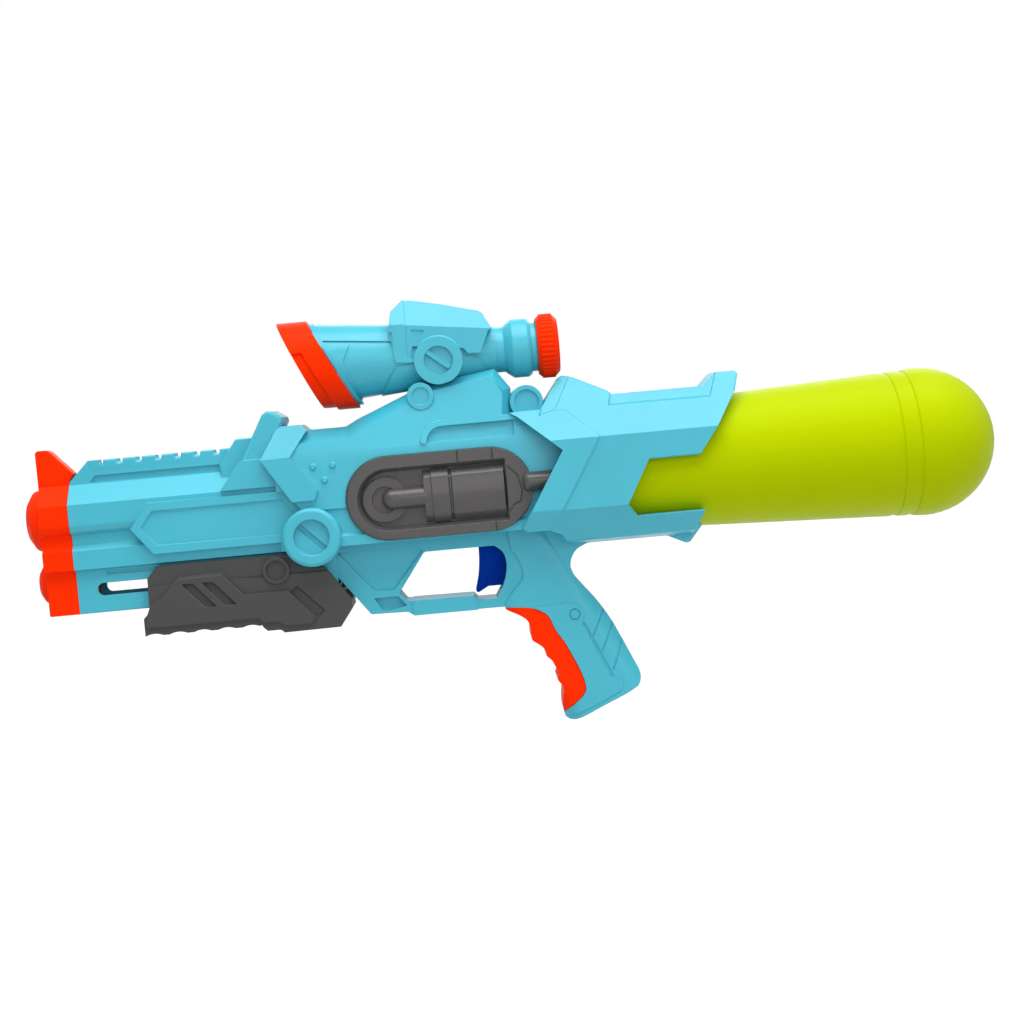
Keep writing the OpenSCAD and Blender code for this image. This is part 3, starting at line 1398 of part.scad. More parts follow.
module tank_socket() {
    socket_end = socket_x + socket_floor + neck_length;
    color([0.9, 0.9, 0.9])
        difference() {
            union() {
                rod_x(socket_x - 3, socket_end, socket_radius, 0, 0);
                rod_x(socket_x - 3.2, socket_x - 0.2 - seat_gap, socket_radius + 1.8, 0, 0);
                for (s = [-1, 1])
                    rod_x(socket_x - 8, socket_x - 2, barb_radius, s * port_y, 0);
            }
            rod_x(socket_x + socket_floor, socket_end + cut, neck_radius + clearance, 0, 0);
            for (s = [-1, 1])
                rod_x(socket_x - 13, socket_x + socket_floor + cut, 1.5, s * port_y, 0);
        }
}

module water_hose() {
    path = smooth([
        [socket_x - 3.6, port_y, 0], [socket_x - 7, port_y, 0], [socket_x - 10.4, port_y, 0],
        [shroud_x + 6.4, port_y - 0.6, -2.8],
        [shroud_x + 7.6, 3.4, -10], [valve_x + 14, 0.8, -17.5], [valve_x + 15, 0, -22.6],
        [valve_x + 15, 0, -25.6], [valve_x + 15, 0, -28.6]
    ], 4);
    color([0.86, 0.9, 0.86])
        tube(path, hose_radius, hose_bore, 12, [0.6, 0.8, 0]);
}

module dip_tube() {
    path = smooth([
        [socket_x + socket_floor + 0.05, port_y, 0], [tank_x + 4, port_y, 0], [tank_x + 24, port_y, -2],
        [tank_x + 70, port_y - 2, -20], [tank_x + 120, 3, -33], [dome_x - 20, 0, -36.5]
    ], 4);
    color([0.9, 0.92, 0.9])
        tube(path, 2.2, 1.5, 12, [0, 1, 0]);
}

groove_x = neck_x + 5;

module neck_o_ring() {
    color([0.08, 0.08, 0.08])
        translate([groove_x, 0, 0])
            rotate([0, 90, 0])
                rotate_extrude()
                    translate([neck_radius - 0.55, 0])
                        circle(r = 0.8, $fn = 24);
}

module water_tank() {
    color(lime)
        difference() {
            union() {
                turned(tank_profile(0), 0);
                turned([[0, neck_x], [neck_radius, neck_x], [neck_radius, groove_x - 0.9],
                    [neck_radius - 1.4, groove_x - 0.9],
                    [neck_radius - 1.4, groove_x + 0.9], [neck_radius, groove_x + 0.9],
                    [neck_radius, tank_x + 1],
                    [0, tank_x + 1]], 0);
            }
            turned(tank_profile(-tank_wall), 0);
            rod_x(neck_x - cut, tank_x + 6, neck_radius - 2.5, 0, 0);
        }
}

left_shell();
right_shell();
shell_screws();
muzzle_cap();
water_nozzle();
outlet_hose();
scope_left_shell();
scope_right_shell();
scope_screws();
scope_hood();
eyepiece_cap();
left_side_panel();
right_side_panel();
finger_grip();
trigger();
trigger_pin();
valve_body();
valve_plunger();
plunger_o_ring();
valve_spring();
pump_grip_left();
pump_grip_right();
pump_grip_screws();
pump_link();
piston_rod();
piston();
piston_o_ring();
pump_cylinder();
cylinder_gland();
cylinder_head();
check_valve();
air_hose();
tank_socket();
water_hose();
dip_tube();
neck_o_ring();
water_tank();
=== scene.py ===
"""Looks of the pump action water squirter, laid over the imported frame. Lengths are in metres."""
import json
import math

import bmesh
import bpy
import numpy as np
from mathutils import Matrix, Vector
from mathutils.bvhtree import BVHTree
from mathutils.geometry import tessellate_polygon


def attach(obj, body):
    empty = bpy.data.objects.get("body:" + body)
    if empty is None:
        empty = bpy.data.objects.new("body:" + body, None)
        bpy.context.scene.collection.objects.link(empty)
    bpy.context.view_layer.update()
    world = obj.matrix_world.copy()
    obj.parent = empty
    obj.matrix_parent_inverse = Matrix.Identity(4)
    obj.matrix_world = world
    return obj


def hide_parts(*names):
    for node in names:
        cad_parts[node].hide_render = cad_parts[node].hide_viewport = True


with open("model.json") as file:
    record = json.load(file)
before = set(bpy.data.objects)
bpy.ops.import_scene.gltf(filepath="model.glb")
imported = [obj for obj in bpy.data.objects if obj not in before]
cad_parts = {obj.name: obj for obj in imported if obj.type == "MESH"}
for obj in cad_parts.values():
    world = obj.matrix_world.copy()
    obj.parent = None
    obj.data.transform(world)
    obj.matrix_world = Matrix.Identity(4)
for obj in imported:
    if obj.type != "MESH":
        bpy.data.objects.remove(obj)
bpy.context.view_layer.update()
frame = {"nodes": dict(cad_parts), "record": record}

MM = 0.001
nodes = frame["nodes"]
body_of_node = {n: b for b, ns in frame["record"]["behaviour"]["bodies"].items() for n in ns}
slot_of_node = {s["node"]: s["material_slot"] for s in frame["record"]["subparts"]}
scene = bpy.context.scene


# Materials

AQUA = (0.053, 0.428, 0.548)
ORANGE = (0.98, 0.030, 0.002)
LIME = (0.405, 0.51, 0.0005)
BLUE = (0.002, 0.032, 0.30)
WARM_GREY = (0.068, 0.066, 0.065)
DARK_GREY = (0.054, 0.054, 0.054)
WHITE = (0.72, 0.72, 0.70)
BLACK = (0.030, 0.030, 0.033)
RUBBER = (0.016, 0.016, 0.016)
ZINC_DARK = (0.50, 0.50, 0.52)
ZINC_LIGHT = (0.66, 0.66, 0.68)
MILKY_DARK = (0.62, 0.68, 0.64)
MILKY_LIGHT = (0.78, 0.82, 0.80)

# Scales of the noise, in waves for each metre
DRIFT_SCALE = 14.0
SCUFF_SCALE = 95.0
GRAIN_SCALE = 2600.0
HOSE_SCALE = 120.0
STEEL_SCALE = 700.0

SCUFF = 0.25                # share by which the scuffs change the roughness
GRAIN_HEIGHT = 0.12 * MM
CLOUD_STOPS = (0.3, 0.7)


def new_material(name):
    mat = bpy.data.materials.new(name)
    mat.use_nodes = True
    tree = mat.node_tree
    tree.nodes.clear()
    out = tree.nodes.new("ShaderNodeOutputMaterial")
    return mat, tree, out


def principled(name):
    """New material with its shader, node tree and object coordinates."""
    mat, tree, out = new_material(name)
    shader = tree.nodes.new("ShaderNodeBsdfPrincipled")
    tree.links.new(shader.outputs["BSDF"], out.inputs["Surface"])
    coords = tree.nodes.new("ShaderNodeTexCoord").outputs["Object"]
    return mat, tree, shader, coords


def noise(tree, coords, scale, detail, rough=0.5):
    n = tree.nodes.new("ShaderNodeTexNoise")
    n.inputs["Scale"].default_value = scale
    n.inputs["Detail"].default_value = detail
    n.inputs["Roughness"].default_value = rough
    tree.links.new(coords, n.inputs["Vector"])
    return n.outputs["Fac"]


def ramp(tree, fac, stops):
    r = tree.nodes.new("ShaderNodeValToRGB")
    elements = r.color_ramp.elements
    while len(elements) < len(stops):
        elements.new(0.5)
    for element, (position, colour) in zip(elements, stops):
        element.position = position
        element.color = (*colour, 1.0)
    tree.links.new(fac, r.inputs["Fac"])
    return r.outputs["Color"]


def grey(level):
    return (level, level, level)


def shade(colour, k):
    return tuple(min(1.0, c * k) for c in colour)


def moulded(name, colour, rough, grain=0.05, specular=0.3, tint=1.0, variation=0.05):
    """Injection-moulded plastic: slow colour drift, fine grain, and faint scuffs in the gloss."""
    mat, tree, shader, coords = principled(name)
    drift = noise(tree, coords, DRIFT_SCALE, detail=3.0)
    pale, deep = shade(colour, 1.0 + variation), shade(colour, 1.0 - variation)
    base = ramp(tree, drift, [(0.25, deep), (0.5, colour), (0.75, pale)])
    tree.links.new(base, shader.inputs["Base Color"])
    rub = noise(tree, coords, SCUFF_SCALE, detail=6.0, rough=0.65)
    smooth, dull = grey(rough * (1 - SCUFF)), grey(rough * (1 + SCUFF))
    gloss = ramp(tree, rub, [(0.3, smooth), (0.55, grey(rough)), (0.8, dull)])
    tree.links.new(gloss, shader.inputs["Roughness"])
    bump = tree.nodes.new("ShaderNodeBump")
    bump.inputs["Strength"].default_value = grain
    bump.inputs["Distance"].default_value = GRAIN_HEIGHT
    tree.links.new(noise(tree, coords, GRAIN_SCALE, detail=2.0), bump.inputs["Height"])
    tree.links.new(bump.outputs["Normal"], shader.inputs["Normal"])
    shader.inputs["Specular IOR Level"].default_value = specular
    sheen = [1.0 - tint + tint * c / max(colour) for c in colour]
    shader.inputs["Specular Tint"].default_value = (*sheen, 1.0)
    return mat


def cloudy(name, scale, colours, roughness):
    """Material whose colour and gloss change together, from cloud to cloud."""
    mat, tree, shader, coords = principled(name)
    cloud = noise(tree, coords, scale, detail=4.0)
    base = ramp(tree, cloud, list(zip(CLOUD_STOPS, colours)))
    gloss = ramp(tree, cloud, list(zip(CLOUD_STOPS, map(grey, roughness))))
    tree.links.new(base, shader.inputs["Base Color"])
    tree.links.new(gloss, shader.inputs["Roughness"])
    return mat, shader


def steel(name):
    mat, shader = cloudy(name, STEEL_SCALE, (ZINC_DARK, ZINC_LIGHT), (0.22, 0.38))
    shader.inputs["Metallic"].default_value = 1.0
    return mat


def hose_plastic(name):
    mat, shader = cloudy(name, HOSE_SCALE, (MILKY_DARK, MILKY_LIGHT), (0.20, 0.34))
    shader.inputs["Subsurface Weight"].default_value = 0.15
    shader.inputs["Subsurface Scale"].default_value = 2.0 * MM
    return mat


MATERIALS = {
    "casing": moulded("aqua_plastic", AQUA, rough=0.36, grain=0.06, specular=0.4, tint=0.0),
    "orange_trim": moulded("orange_plastic", ORANGE, rough=0.46, specular=0.12, variation=0.04),
    "panel": moulded("warm_grey_plastic", WARM_GREY, rough=0.28, specular=0.45),
    "pump_plastic": moulded("dark_grey_plastic", DARK_GREY, rough=0.50, grain=0.12),
    "trigger_plastic": moulded("blue_plastic", BLUE, rough=0.32, grain=0.04),
    "tank_plastic": moulded("lime_plastic", LIME, rough=0.44, grain=0.04, specular=0.1, variation=0.03),
    "white_plastic": moulded("white_plastic", WHITE, rough=0.42),
    "black_plastic": moulded("black_plastic", BLACK, rough=0.45),
    "seal_rubber": moulded("seal_rubber", RUBBER, rough=0.62, grain=0.2),
    "hose": hose_plastic("milky_hose"),
    "steel": steel("zinc_steel"),
}


# Groups and distances

TINY = 1e-18                # keeps a segment without length from dividing by zero


def linked_groups(items, neighbours):
    """Splits the items, in their order, into groups that hang together by their neighbours."""
    left, groups = set(items), []
    for start in items:
        if start not in left:
            continue
        left.discard(start)
        group, stack = [], [start]
        while stack:
            item = stack.pop()
            group.append(item)
            for near in neighbours(item):
                if near in left:
                    left.discard(near)
                    stack.append(near)
        groups.append(group)
    return groups


def point_to_segments(points, a, b):
    """Distances of the points, a row for each, from the segments a-b, a column for each."""
    ab = b - a
    t = np.einsum("pij,ij->pi", points[:, None, :] - a[None], ab) / np.maximum((ab * ab).sum(1), TINY)
    foot = a[None] + np.clip(t, 0, 1)[..., None] * ab[None]
    return np.linalg.norm(points[:, None, :] - foot, axis=2)


def tree_of(*names):
    """Search tree over the faces of some CAD nodes."""
    verts, polys = [], []
    for n in names:
        base = len(verts)
        verts += [v.co.copy() for v in nodes[n].data.vertices]
        polys += [[base + i for i in p.vertices] for p in nodes[n].data.polygons]
    return BVHTree.FromPolygons(verts, polys)


# Clean meshes: each flat of a CAD node as one polygon

FLAT_ANGLE = math.radians(0.5)      # faces that bend less than this are one flat
WELD = 0.002 * MM                   # points closer than this are one point
PLANE_SLACK = 0.005 * MM
BOX_SLACK = 0.01 * MM
SAME_PLANE = 0.9999                 # least cosine between the normals of faces in one plane
CLEAR = 2.0 * MM                    # a cut this far from the other holes is as good as any
FAR_OFF = 9.0                       # stands for no other hole, or no torn point
# Places for a cut, as shares of the hole's length from its middle
CUT_PLACES = np.array([0.0, 0.12, -0.12, 0.24, -0.24, 0.36, -0.36])


def merge_flat(bm):
    """Joins the triangles of each flat face, up to the lines marked as seams."""
    bmesh.ops.dissolve_limit(bm, angle_limit=FLAT_ANGLE, verts=bm.verts, edges=bm.edges, delimit={"SEAM"})


def flat_neighbours(face):
    """Faces in the same flat as this one, across its edges."""
    level = [e for e in face.edges if len(e.link_faces) == 2 and e.calc_face_angle(0.0) < FLAT_ANGLE]
    return [f for e in level for f in e.link_faces]


def border_loops(flat):
    """Points of each closed line around a flat: the outer line first, and then its holes by size."""
    inside = set(flat)
    border = [e for f in flat for e in f.edges if sum(g in inside for g in e.link_faces) == 1]
    lines = linked_groups(border, lambda e: [o for v in e.verts for o in v.link_edges])
    loops = [np.array([v.co for v in dict.fromkeys(v for e in line for v in e.verts)]) for line in lines]
    return sorted(loops, key=lambda p: -float(np.ptp(p, axis=0).sum()))


def cuts_across_holes(bm):
    """A cut across each hole in a flat, clear of the other holes: place, flat's normal, way, flat's box."""
    cuts = []
    for flat in linked_groups(bm.faces, flat_neighbours):
        loops = border_loops(flat) if len(flat) > 1 else []
        if len(loops) < 2:
            continue
        outer = loops[0]
        way = np.linalg.svd(outer - outer.mean(0), full_matrices=False)[2][0]
        normal = np.array(max(flat, key=lambda f: f.calc_area()).normal)
        for k, hole in enumerate(loops[1:], 1):
            own = hole @ way
            others = [q @ way for j, q in enumerate(loops) if j not in (0, k)]
            others = np.concatenate(others or [[FAR_OFF]])
            tries = own.mean() + CUT_PLACES * np.ptp(own)
            best = max(tries, key=lambda s: min(np.abs(others - s).min(), CLEAR))
            place = hole.mean(0) + way * (best - own.mean())
            cuts.append((Vector(place), Vector(normal), Vector(way), outer.min(0), outer.max(0)))
    return cuts


def faces_in_flat(bm, place, normal, low, high):
    def inside(p):
        in_box = all(low[k] - BOX_SLACK < p[k] < high[k] + BOX_SLACK for k in range(3))
        return in_box and abs((p - place).dot(normal)) < PLANE_SLACK
    return [f for f in bm.faces if f.normal.dot(normal) > SAME_PLANE and inside(f.calc_center_median())]


def welded(me):
    """The mesh without double points and slivers."""
    bm = bmesh.new()
    bm.from_mesh(me)
    bmesh.ops.remove_doubles(bm, verts=bm.verts, dist=WELD)
    bmesh.ops.dissolve_degenerate(bm, dist=2 * WELD, edges=bm.edges)
    return bm


def clean_mesh(me):
    """The mesh with each flat joined into one polygon, or cut across its holes into two or more."""
    bm = welded(me)
    merge_flat(bm)
    cuts = cuts_across_holes(bm)
    bm.free()
    bm = welded(me)
    for place, normal, way, low, high in cuts:
        flat = faces_in_flat(bm, place, normal, low, high)
        verts = dict.fromkeys(v for f in flat for v in f.verts)
        edges = dict.fromkeys(e for f in flat for e in f.edges)
        geom = [*verts, *edges, *flat]
        cut = bmesh.ops.bisect_plane(bm, geom=geom, dist=WELD, plane_co=place, plane_no=way)
        for g in cut["geom_cut"]:
            if isinstance(g, bmesh.types.BMEdge):
                g.seam = True
    merge_flat(bm)
    return bm


# Room for the rounds

GAP_SHARE_BOTH = 0.46       # share of the gap between two rounded edges that each round may take
GAP_SHARE_ONE = 0.9         # the same where the other edge isn't rounded
LENGTH_SHARE = 0.42         # share of an edge's length that the rounds may take at each end
EDGE_SAMPLES = (0.0, 0.25, 0.5, 0.75, 1.0)
REFLEX = 1.02 * math.pi     # corners wider than this leave room for any round
BLUNT = -0.5                # cosine of the corners at which the wider round is cut first
SPARE_SHARE = 0.9           # share of the spare length that the wider round may keep
SAME_WIDTH = 1e-7           # rounds that differ by less are alike, in metres
SMALLEST_SINE = 1e-4
FIT_SLACK = 0.001
FIT_PASSES = 80
CORNER_STEPS = 6


def cut_to_gaps(bm, rounds):
    """Cuts each round to the gap between its edge and the edges of the same face that don't touch it."""
    for f in bm.faces:
        edges = [lo.edge for lo in f.loops]
        if not any(e in rounds for e in edges):
            continue
        a = np.array([e.verts[0].co for e in edges])
        b = np.array([e.verts[1].co for e in edges])
        ends = np.stack([a, b], 1).reshape(-1, 3)
        share = np.array([GAP_SHARE_BOTH if e in rounds else GAP_SHARE_ONE for e in edges])
        for i, e in enumerate(edges):
            if e not in rounds:
                continue
            apart = np.array([not set(e.verts) & set(o.verts) for o in edges])
            if not apart.any():
                continue
            samples = np.stack([a[i] * (1 - s) + b[i] * s for s in EDGE_SAMPLES])
            from_samples = point_to_segments(samples, a, b).min(0)
            from_ends = point_to_segments(ends, a[i:i + 1], b[i:i + 1]).reshape(-1, 2).min(1)
            gap = np.minimum(from_samples, from_ends)
            rounds[e] = min(rounds[e], float((share * gap)[apart].min()))


def face_corners(bm, rounds):
    """Corners of the faces that have rounds: both edges, the inner angle and both lengths."""
    corners = []
    for f in bm.faces:
        loops = list(f.loops)
        if not any(lo.edge in rounds for lo in loops):
            continue
        for i, lo in enumerate(loops):
            first, second = loops[i - 1].edge, lo.edge
            angle = lo.calc_angle() if lo.is_convex else 2 * math.pi - lo.calc_angle()
            corners.append((first, second, angle, first.calc_length(), second.calc_length()))
    return corners


def shrink_pair(w1, w2, sin, cos, length_1, length_2):
    """Two rounds that meet at a corner, shrunk until both edges have length left."""
    for _ in range(CORNER_STEPS):
        used_1, used_2 = (w2 + w1 * cos) / sin, (w1 + w2 * cos) / sin
        over = max(used_1 / (LENGTH_SHARE * length_1), used_2 / (LENGTH_SHARE * length_2))
        if over <= 1 + FIT_SLACK:
            break
        low = min(w1, w2)
        if cos < BLUNT and max(w1, w2) - low > SAME_WIDTH:
            spare = LENGTH_SHARE * min(length_1, length_2) * sin - low * (1 + cos)
            cap = low + SPARE_SHARE * max(0.0, spare)
            if cap < max(w1, w2) * (1 - FIT_SLACK):
                w1, w2 = min(w1, cap), min(w2, cap)
                continue
        w1, w2 = w1 / over, w2 / over
    return w1, w2


def fit_corner(rounds, first, second, angle, length_1, length_2):
    """Cuts the rounds at a face's corner to the lengths of its edges, and says whether it cut any."""
    w1, w2 = rounds.get(first), rounds.get(second)
    if angle >= REFLEX or (w1 is None and w2 is None):
        return False
    sin, cos = max(math.sin(angle), SMALLEST_SINE), math.cos(angle)
    if w1 is None or w2 is None:
        edge, length = (second, length_1) if w1 is None else (first, length_2)
        top = LENGTH_SHARE * length * sin
        cut = rounds[edge] > top * (1 + FIT_SLACK)
        if cut:
            rounds[edge] = top
        return cut
    w1, w2 = shrink_pair(w1, w2, sin, cos, length_1, length_2)
    cut = w1 < rounds[first] * (1 - FIT_SLACK) or w2 < rounds[second] * (1 - FIT_SLACK)
    if cut:
        rounds[first], rounds[second] = w1, w2
    return cut


def edge_room(bm, wanted):
    """The wanted rounds, cut to the room that the other edges of their faces leave."""
    rounds = dict(wanted)
    cut_to_gaps(bm, rounds)
    corners = face_corners(bm, rounds)
    for _ in range(FIT_PASSES):
        if not any([fit_corner(rounds, *corner) for corner in corners]):
            break
    return rounds


# Mends of the rounded meshes

SMALLEST_TORN = 1e-8        # triangles below this area, in square metres, aren't tested
OFF_SURFACE = 0.8           # share of a round's width beyond which a triangle is off the surface
INWARDS = -0.1              # cosine to the CAD surface's normal below which a triangle faces inwards
CALM_STEPS = 7
HALVING_STEPS = 2           # steps that halve the rounds, before the others take them off
REACH, REACH_GROWTH = 0.7, 0.15     # reach of a torn point, and its growth by each step, in widths
CHUNK = 60                  # torn points measured at once
MANY_SIDES = 5              # polygons with more sides than this are tested for a wrong fill
OVERFILL_AREA = 5e-7        # square metres of fill beyond a polygon's own area that are too much
OVERFILL_SHARE = 0.01       # the same for large polygons, as a share of their area


def torn_points(ob, cad, width):
    """Corners of the rounded mesh's triangles that face inwards or lie off the CAD surface."""
    me = ob.evaluated_get(bpy.context.evaluated_depsgraph_get()).to_mesh()
    me.calc_loop_triangles()
    co = np.empty(len(me.vertices) * 3)
    me.vertices.foreach_get("co", co)
    tri = np.empty(len(me.loop_triangles) * 3, dtype=np.int32)
    me.loop_triangles.foreach_get("vertices", tri)
    co, tri = co.reshape(-1, 3), tri.reshape(-1, 3)
    p = co[tri]
    n = np.cross(p[:, 1] - p[:, 0], p[:, 2] - p[:, 0])
    area = np.linalg.norm(n, axis=1) / 2
    mid = p.mean(1)
    torn = set()
    for i in np.nonzero(area > SMALLEST_TORN)[0]:
        _, normal, _, dist = cad.find_nearest(Vector(mid[i]))
        if dist > OFF_SURFACE * width or normal.dot(Vector(n[i])) < INWARDS * 2 * area[i]:
            torn |= set(tri[i].tolist())
    return co[sorted(torn)]


def calm(ob, cad, width):
    """Makes the rounds smaller, and then takes them off, wherever they tear the mesh."""
    me = ob.data
    layer = me.attributes["bevel_weight_edge"].data
    ends = np.array([[me.vertices[k].co for k in e.vertices] for e in me.edges])
    for step in range(CALM_STEPS):
        bpy.context.view_layer.update()
        torn = torn_points(ob, cad, width)
        if not len(torn):
            break
        gap = np.full(len(ends), FAR_OFF)
        for chunk in np.array_split(torn, max(1, len(torn) // CHUNK)):
            gap = np.minimum(gap, point_to_segments(chunk, ends[:, 0], ends[:, 1]).min(0))
        reach = (REACH + REACH_GROWTH * step) * width
        keep = 0.5 if step < HALVING_STEPS else 0.0
        for i in np.nonzero(gap < reach)[0]:
            layer[i].value *= keep
        me.update_tag()


def retile(bm, me):
    """Cuts each many-sided flat that would be filled wrongly into triangles that do fill it."""
    me.calc_loop_triangles()
    filled = np.zeros(len(me.polygons))
    for tri in me.loop_triangles:
        filled[tri.polygon_index] += tri.area
    bm.faces.ensure_lookup_table()
    wrong = [bm.faces[p.index] for p in me.polygons if len(p.vertices) > MANY_SIDES
             and filled[p.index] > p.area + max(OVERFILL_AREA, OVERFILL_SHARE * p.area)]
    for f in wrong:
        verts = list(f.verts)
        points = [v.co for v in verts]
        tiles = tessellate_polygon([points])
        facing = sum((points[b] - points[a]).cross(points[c] - points[a]).dot(f.normal) for a, b, c in tiles)
        turn = -1 if facing < 0 else 1
        for tile in tiles:
            bm.faces.new([verts[i] for i in tile[::turn]]).material_index = f.material_index
    bmesh.ops.delete(bm, geom=wrong, context="FACES_ONLY")
    bm.normal_update()
    bm.verts.index_update()
    bm.edges.index_update()
    bm.faces.index_update()


# Normals of the rounded meshes

BODY_INDEX, ROUND_INDEX = 0, 1      # material indices that tell the rounds from the rest
SAME_NORMAL = 0.99995               # least cosine between normals that count as one
NEAR_NORMAL = 0.6                   # cosine above which a round takes its neighbour's normal


def corner_normals(v, own, is_round, soft):
    """Normal of each loop at a point: one for each smooth group of faces, and rounds take the nearest."""
    def smooth_neighbours(f):
        near = [g for e in f.edges if v in e.verts for g in e.link_faces]
        return [g for g in near if own[g.index].dot(own[f.index]) > soft]

    shared, choices = {}, []
    for group in linked_groups([f for f in v.link_faces if not is_round[f.index]], smooth_neighbours):
        kinds = []
        for f in sorted(group, key=lambda f: f.index):
            if all(own[f.index].dot(k) < SAME_NORMAL for k in kinds):
                kinds.append(own[f.index])
        choices.append(sum(kinds, Vector()).normalized())
        shared.update(dict.fromkeys(group, choices[-1]))
    round_loops = [lo for lo in v.link_loops if is_round[lo.face.index]]
    mean = sum((own[lo.face.index] * lo.calc_angle() for lo in round_loops), Vector()).normalized()
    for lo in v.link_loops:
        face_normal = own[lo.face.index]
        best = max(choices, key=lambda n: n.dot(face_normal), default=None)
        near = best is not None and best.dot(face_normal) > NEAR_NORMAL
        yield lo.index, shared.get(lo.face, best if near else mean)


def true_normals(ob, angle):
    """Bakes the rounds. Flats keep their normal, curved faces share theirs, and rounds run between them."""
    soft = math.cos(math.radians(angle))
    me = bpy.data.meshes.new_from_object(ob.evaluated_get(bpy.context.evaluated_depsgraph_get()))
    bm = bmesh.new()
    bm.from_mesh(me)
    retile(bm, me)
    bm.to_mesh(me)
    bm.faces.ensure_lookup_table()
    own = [f.normal.copy() for f in bm.faces]
    is_round = [f.material_index == ROUND_INDEX for f in bm.faces]
    normals = [None] * len(me.loops)
    for v in bm.verts:
        for loop_index, normal in corner_normals(v, own, is_round, soft):
            normals[loop_index] = normal
    bm.free()
    for p in me.polygons:
        p.material_index = BODY_INDEX
        p.use_smooth = True
    me.materials.pop()
    ob.modifiers.clear()
    old, ob.data = ob.data, me
    bpy.data.meshes.remove(old)
    me.normals_split_custom_set([tuple(n) for n in normals])


# Skins: copies of the moulded nodes with rounded edges

SEAM_ROUND = 0.25 * MM      # for edges against a neighbour or on the joint between two halves
NEIGHBOUR_GAP = 0.4 * MM
MID_PLANE_SLACK = 0.02 * MM
SMALLEST_ROUND = 0.02 * MM
CASING_ROUND = 1.1 * MM
DETAIL_ROUND = 1.0 * MM
TRIGGER_ROUND = 1.3 * MM
TRIGGER_STEP_ROUND = 0.25 * MM
PANEL_RIM_ROUND = 2.2 * MM
KNOB_RIM_ROUND = 2.3 * MM

RIM_SLACK = 0.4 * MM
PANEL_X0, PANEL_X1 = 214.2 * MM, 274.5 * MM     # centres of the oval's two ends
PANEL_Z = -3.85 * MM
PANEL_RADIUS = 24.5 * MM
PANEL_RIM_Y = 29.8 * MM
KNOB_X, KNOB_Z = 250.8 * MM, 73.8 * MM
KNOB_RADIUS = 14.2 * MM
KNOB_RIM_Y = 22.2 * MM
TRIGGER_STEP_WAY = Vector((0.547, 0.0, 0.837))
SAME_WAY = 0.995            # least cosine between the trigger's step and an edge along it


def edge_middle(edge):
    return (edge.verts[0].co + edge.verts[1].co) / 2


def on_rim(p, x, z, radius, rim_y):
    """Whether a point lies on the outer rim of a round form on the toy's side."""
    return abs(math.hypot(p.x - x, p.z - z) - radius) < RIM_SLACK and abs(p.y) > rim_y


def panel_rounds(edge):
    """The panel's outer rim is rounder than its details."""
    p = edge_middle(edge)
    x = min(max(p.x, PANEL_X0), PANEL_X1)
    return PANEL_RIM_ROUND if on_rim(p, x, PANEL_Z, PANEL_RADIUS, PANEL_RIM_Y) else DETAIL_ROUND


def scope_rounds(edge):
    """The knob's outer rim is rounder than the rest of the scope."""
    rim = on_rim(edge_middle(edge), KNOB_X, KNOB_Z, KNOB_RADIUS, KNOB_RIM_Y)
    return KNOB_RIM_ROUND if rim else DETAIL_ROUND


def trigger_rounds(edge):
    """Small rounds along the slanted step on the trigger's sides."""
    way = (edge.verts[1].co - edge.verts[0].co).normalized()
    return TRIGGER_STEP_ROUND if abs(way.dot(TRIGGER_STEP_WAY)) > SAME_WAY else TRIGGER_ROUND


def wanted_round(edge, width, near, fine):
    """Round of a sharp edge before its room is known."""
    p = edge_middle(edge)
    if fine is not None:
        width = min(width, fine(edge))
    beside = near is not None and near.find_nearest(p, NEIGHBOUR_GAP)[0] is not None
    return min(width, SEAM_ROUND) if beside or abs(p.y) < MID_PLANE_SLACK else width


def rounded_copy(node, width, angle, near, fine, segments):
    """Object with a CAD node's clean mesh and a bevel on its sharp edges."""
    me = nodes[node].data.copy()
    me.name = node + "_skin"
    me.materials.clear()
    bm = clean_mesh(me)
    weights = bm.edges.layers.float.new("bevel_weight_edge")
    sharp = [e for e in bm.edges if len(e.link_faces) == 2 and e.calc_face_angle(0.0) > math.radians(angle)]
    room = edge_room(bm, {e: wanted_round(e, width, near, fine) for e in sharp})
    for e in bm.edges:
        w = room.get(e, 0.0)
        e[weights] = w / width if w > SMALLEST_ROUND else 0.0
    for f in bm.faces:
        f.smooth = True
    bm.to_mesh(me)
    bm.free()
    ob = bpy.data.objects.new(node + "_skin", me)
    scene.collection.objects.link(ob)
    for _ in (BODY_INDEX, ROUND_INDEX):
        me.materials.append(MATERIALS[slot_of_node[node]])
    bevel = ob.modifiers.new("rounds", "BEVEL")
    bevel.material = ROUND_INDEX
    bevel.limit_method = "WEIGHT"
    bevel.width = width
    bevel.segments = segments
    bevel.use_clamp_overlap = False
    bevel.loop_slide = False
    return ob


def skin(node, width, angle=16.0, near=None, fine=None, segments=3):
    """Rounded copy of a CAD node, in its place. Edges against the nodes in near stay tight."""
    ob = rounded_copy(node, width, angle, near, fine, segments)
    calm(ob, tree_of(node), width)
    true_normals(ob, angle)
    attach(ob, body_of_node[node])
    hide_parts(node)


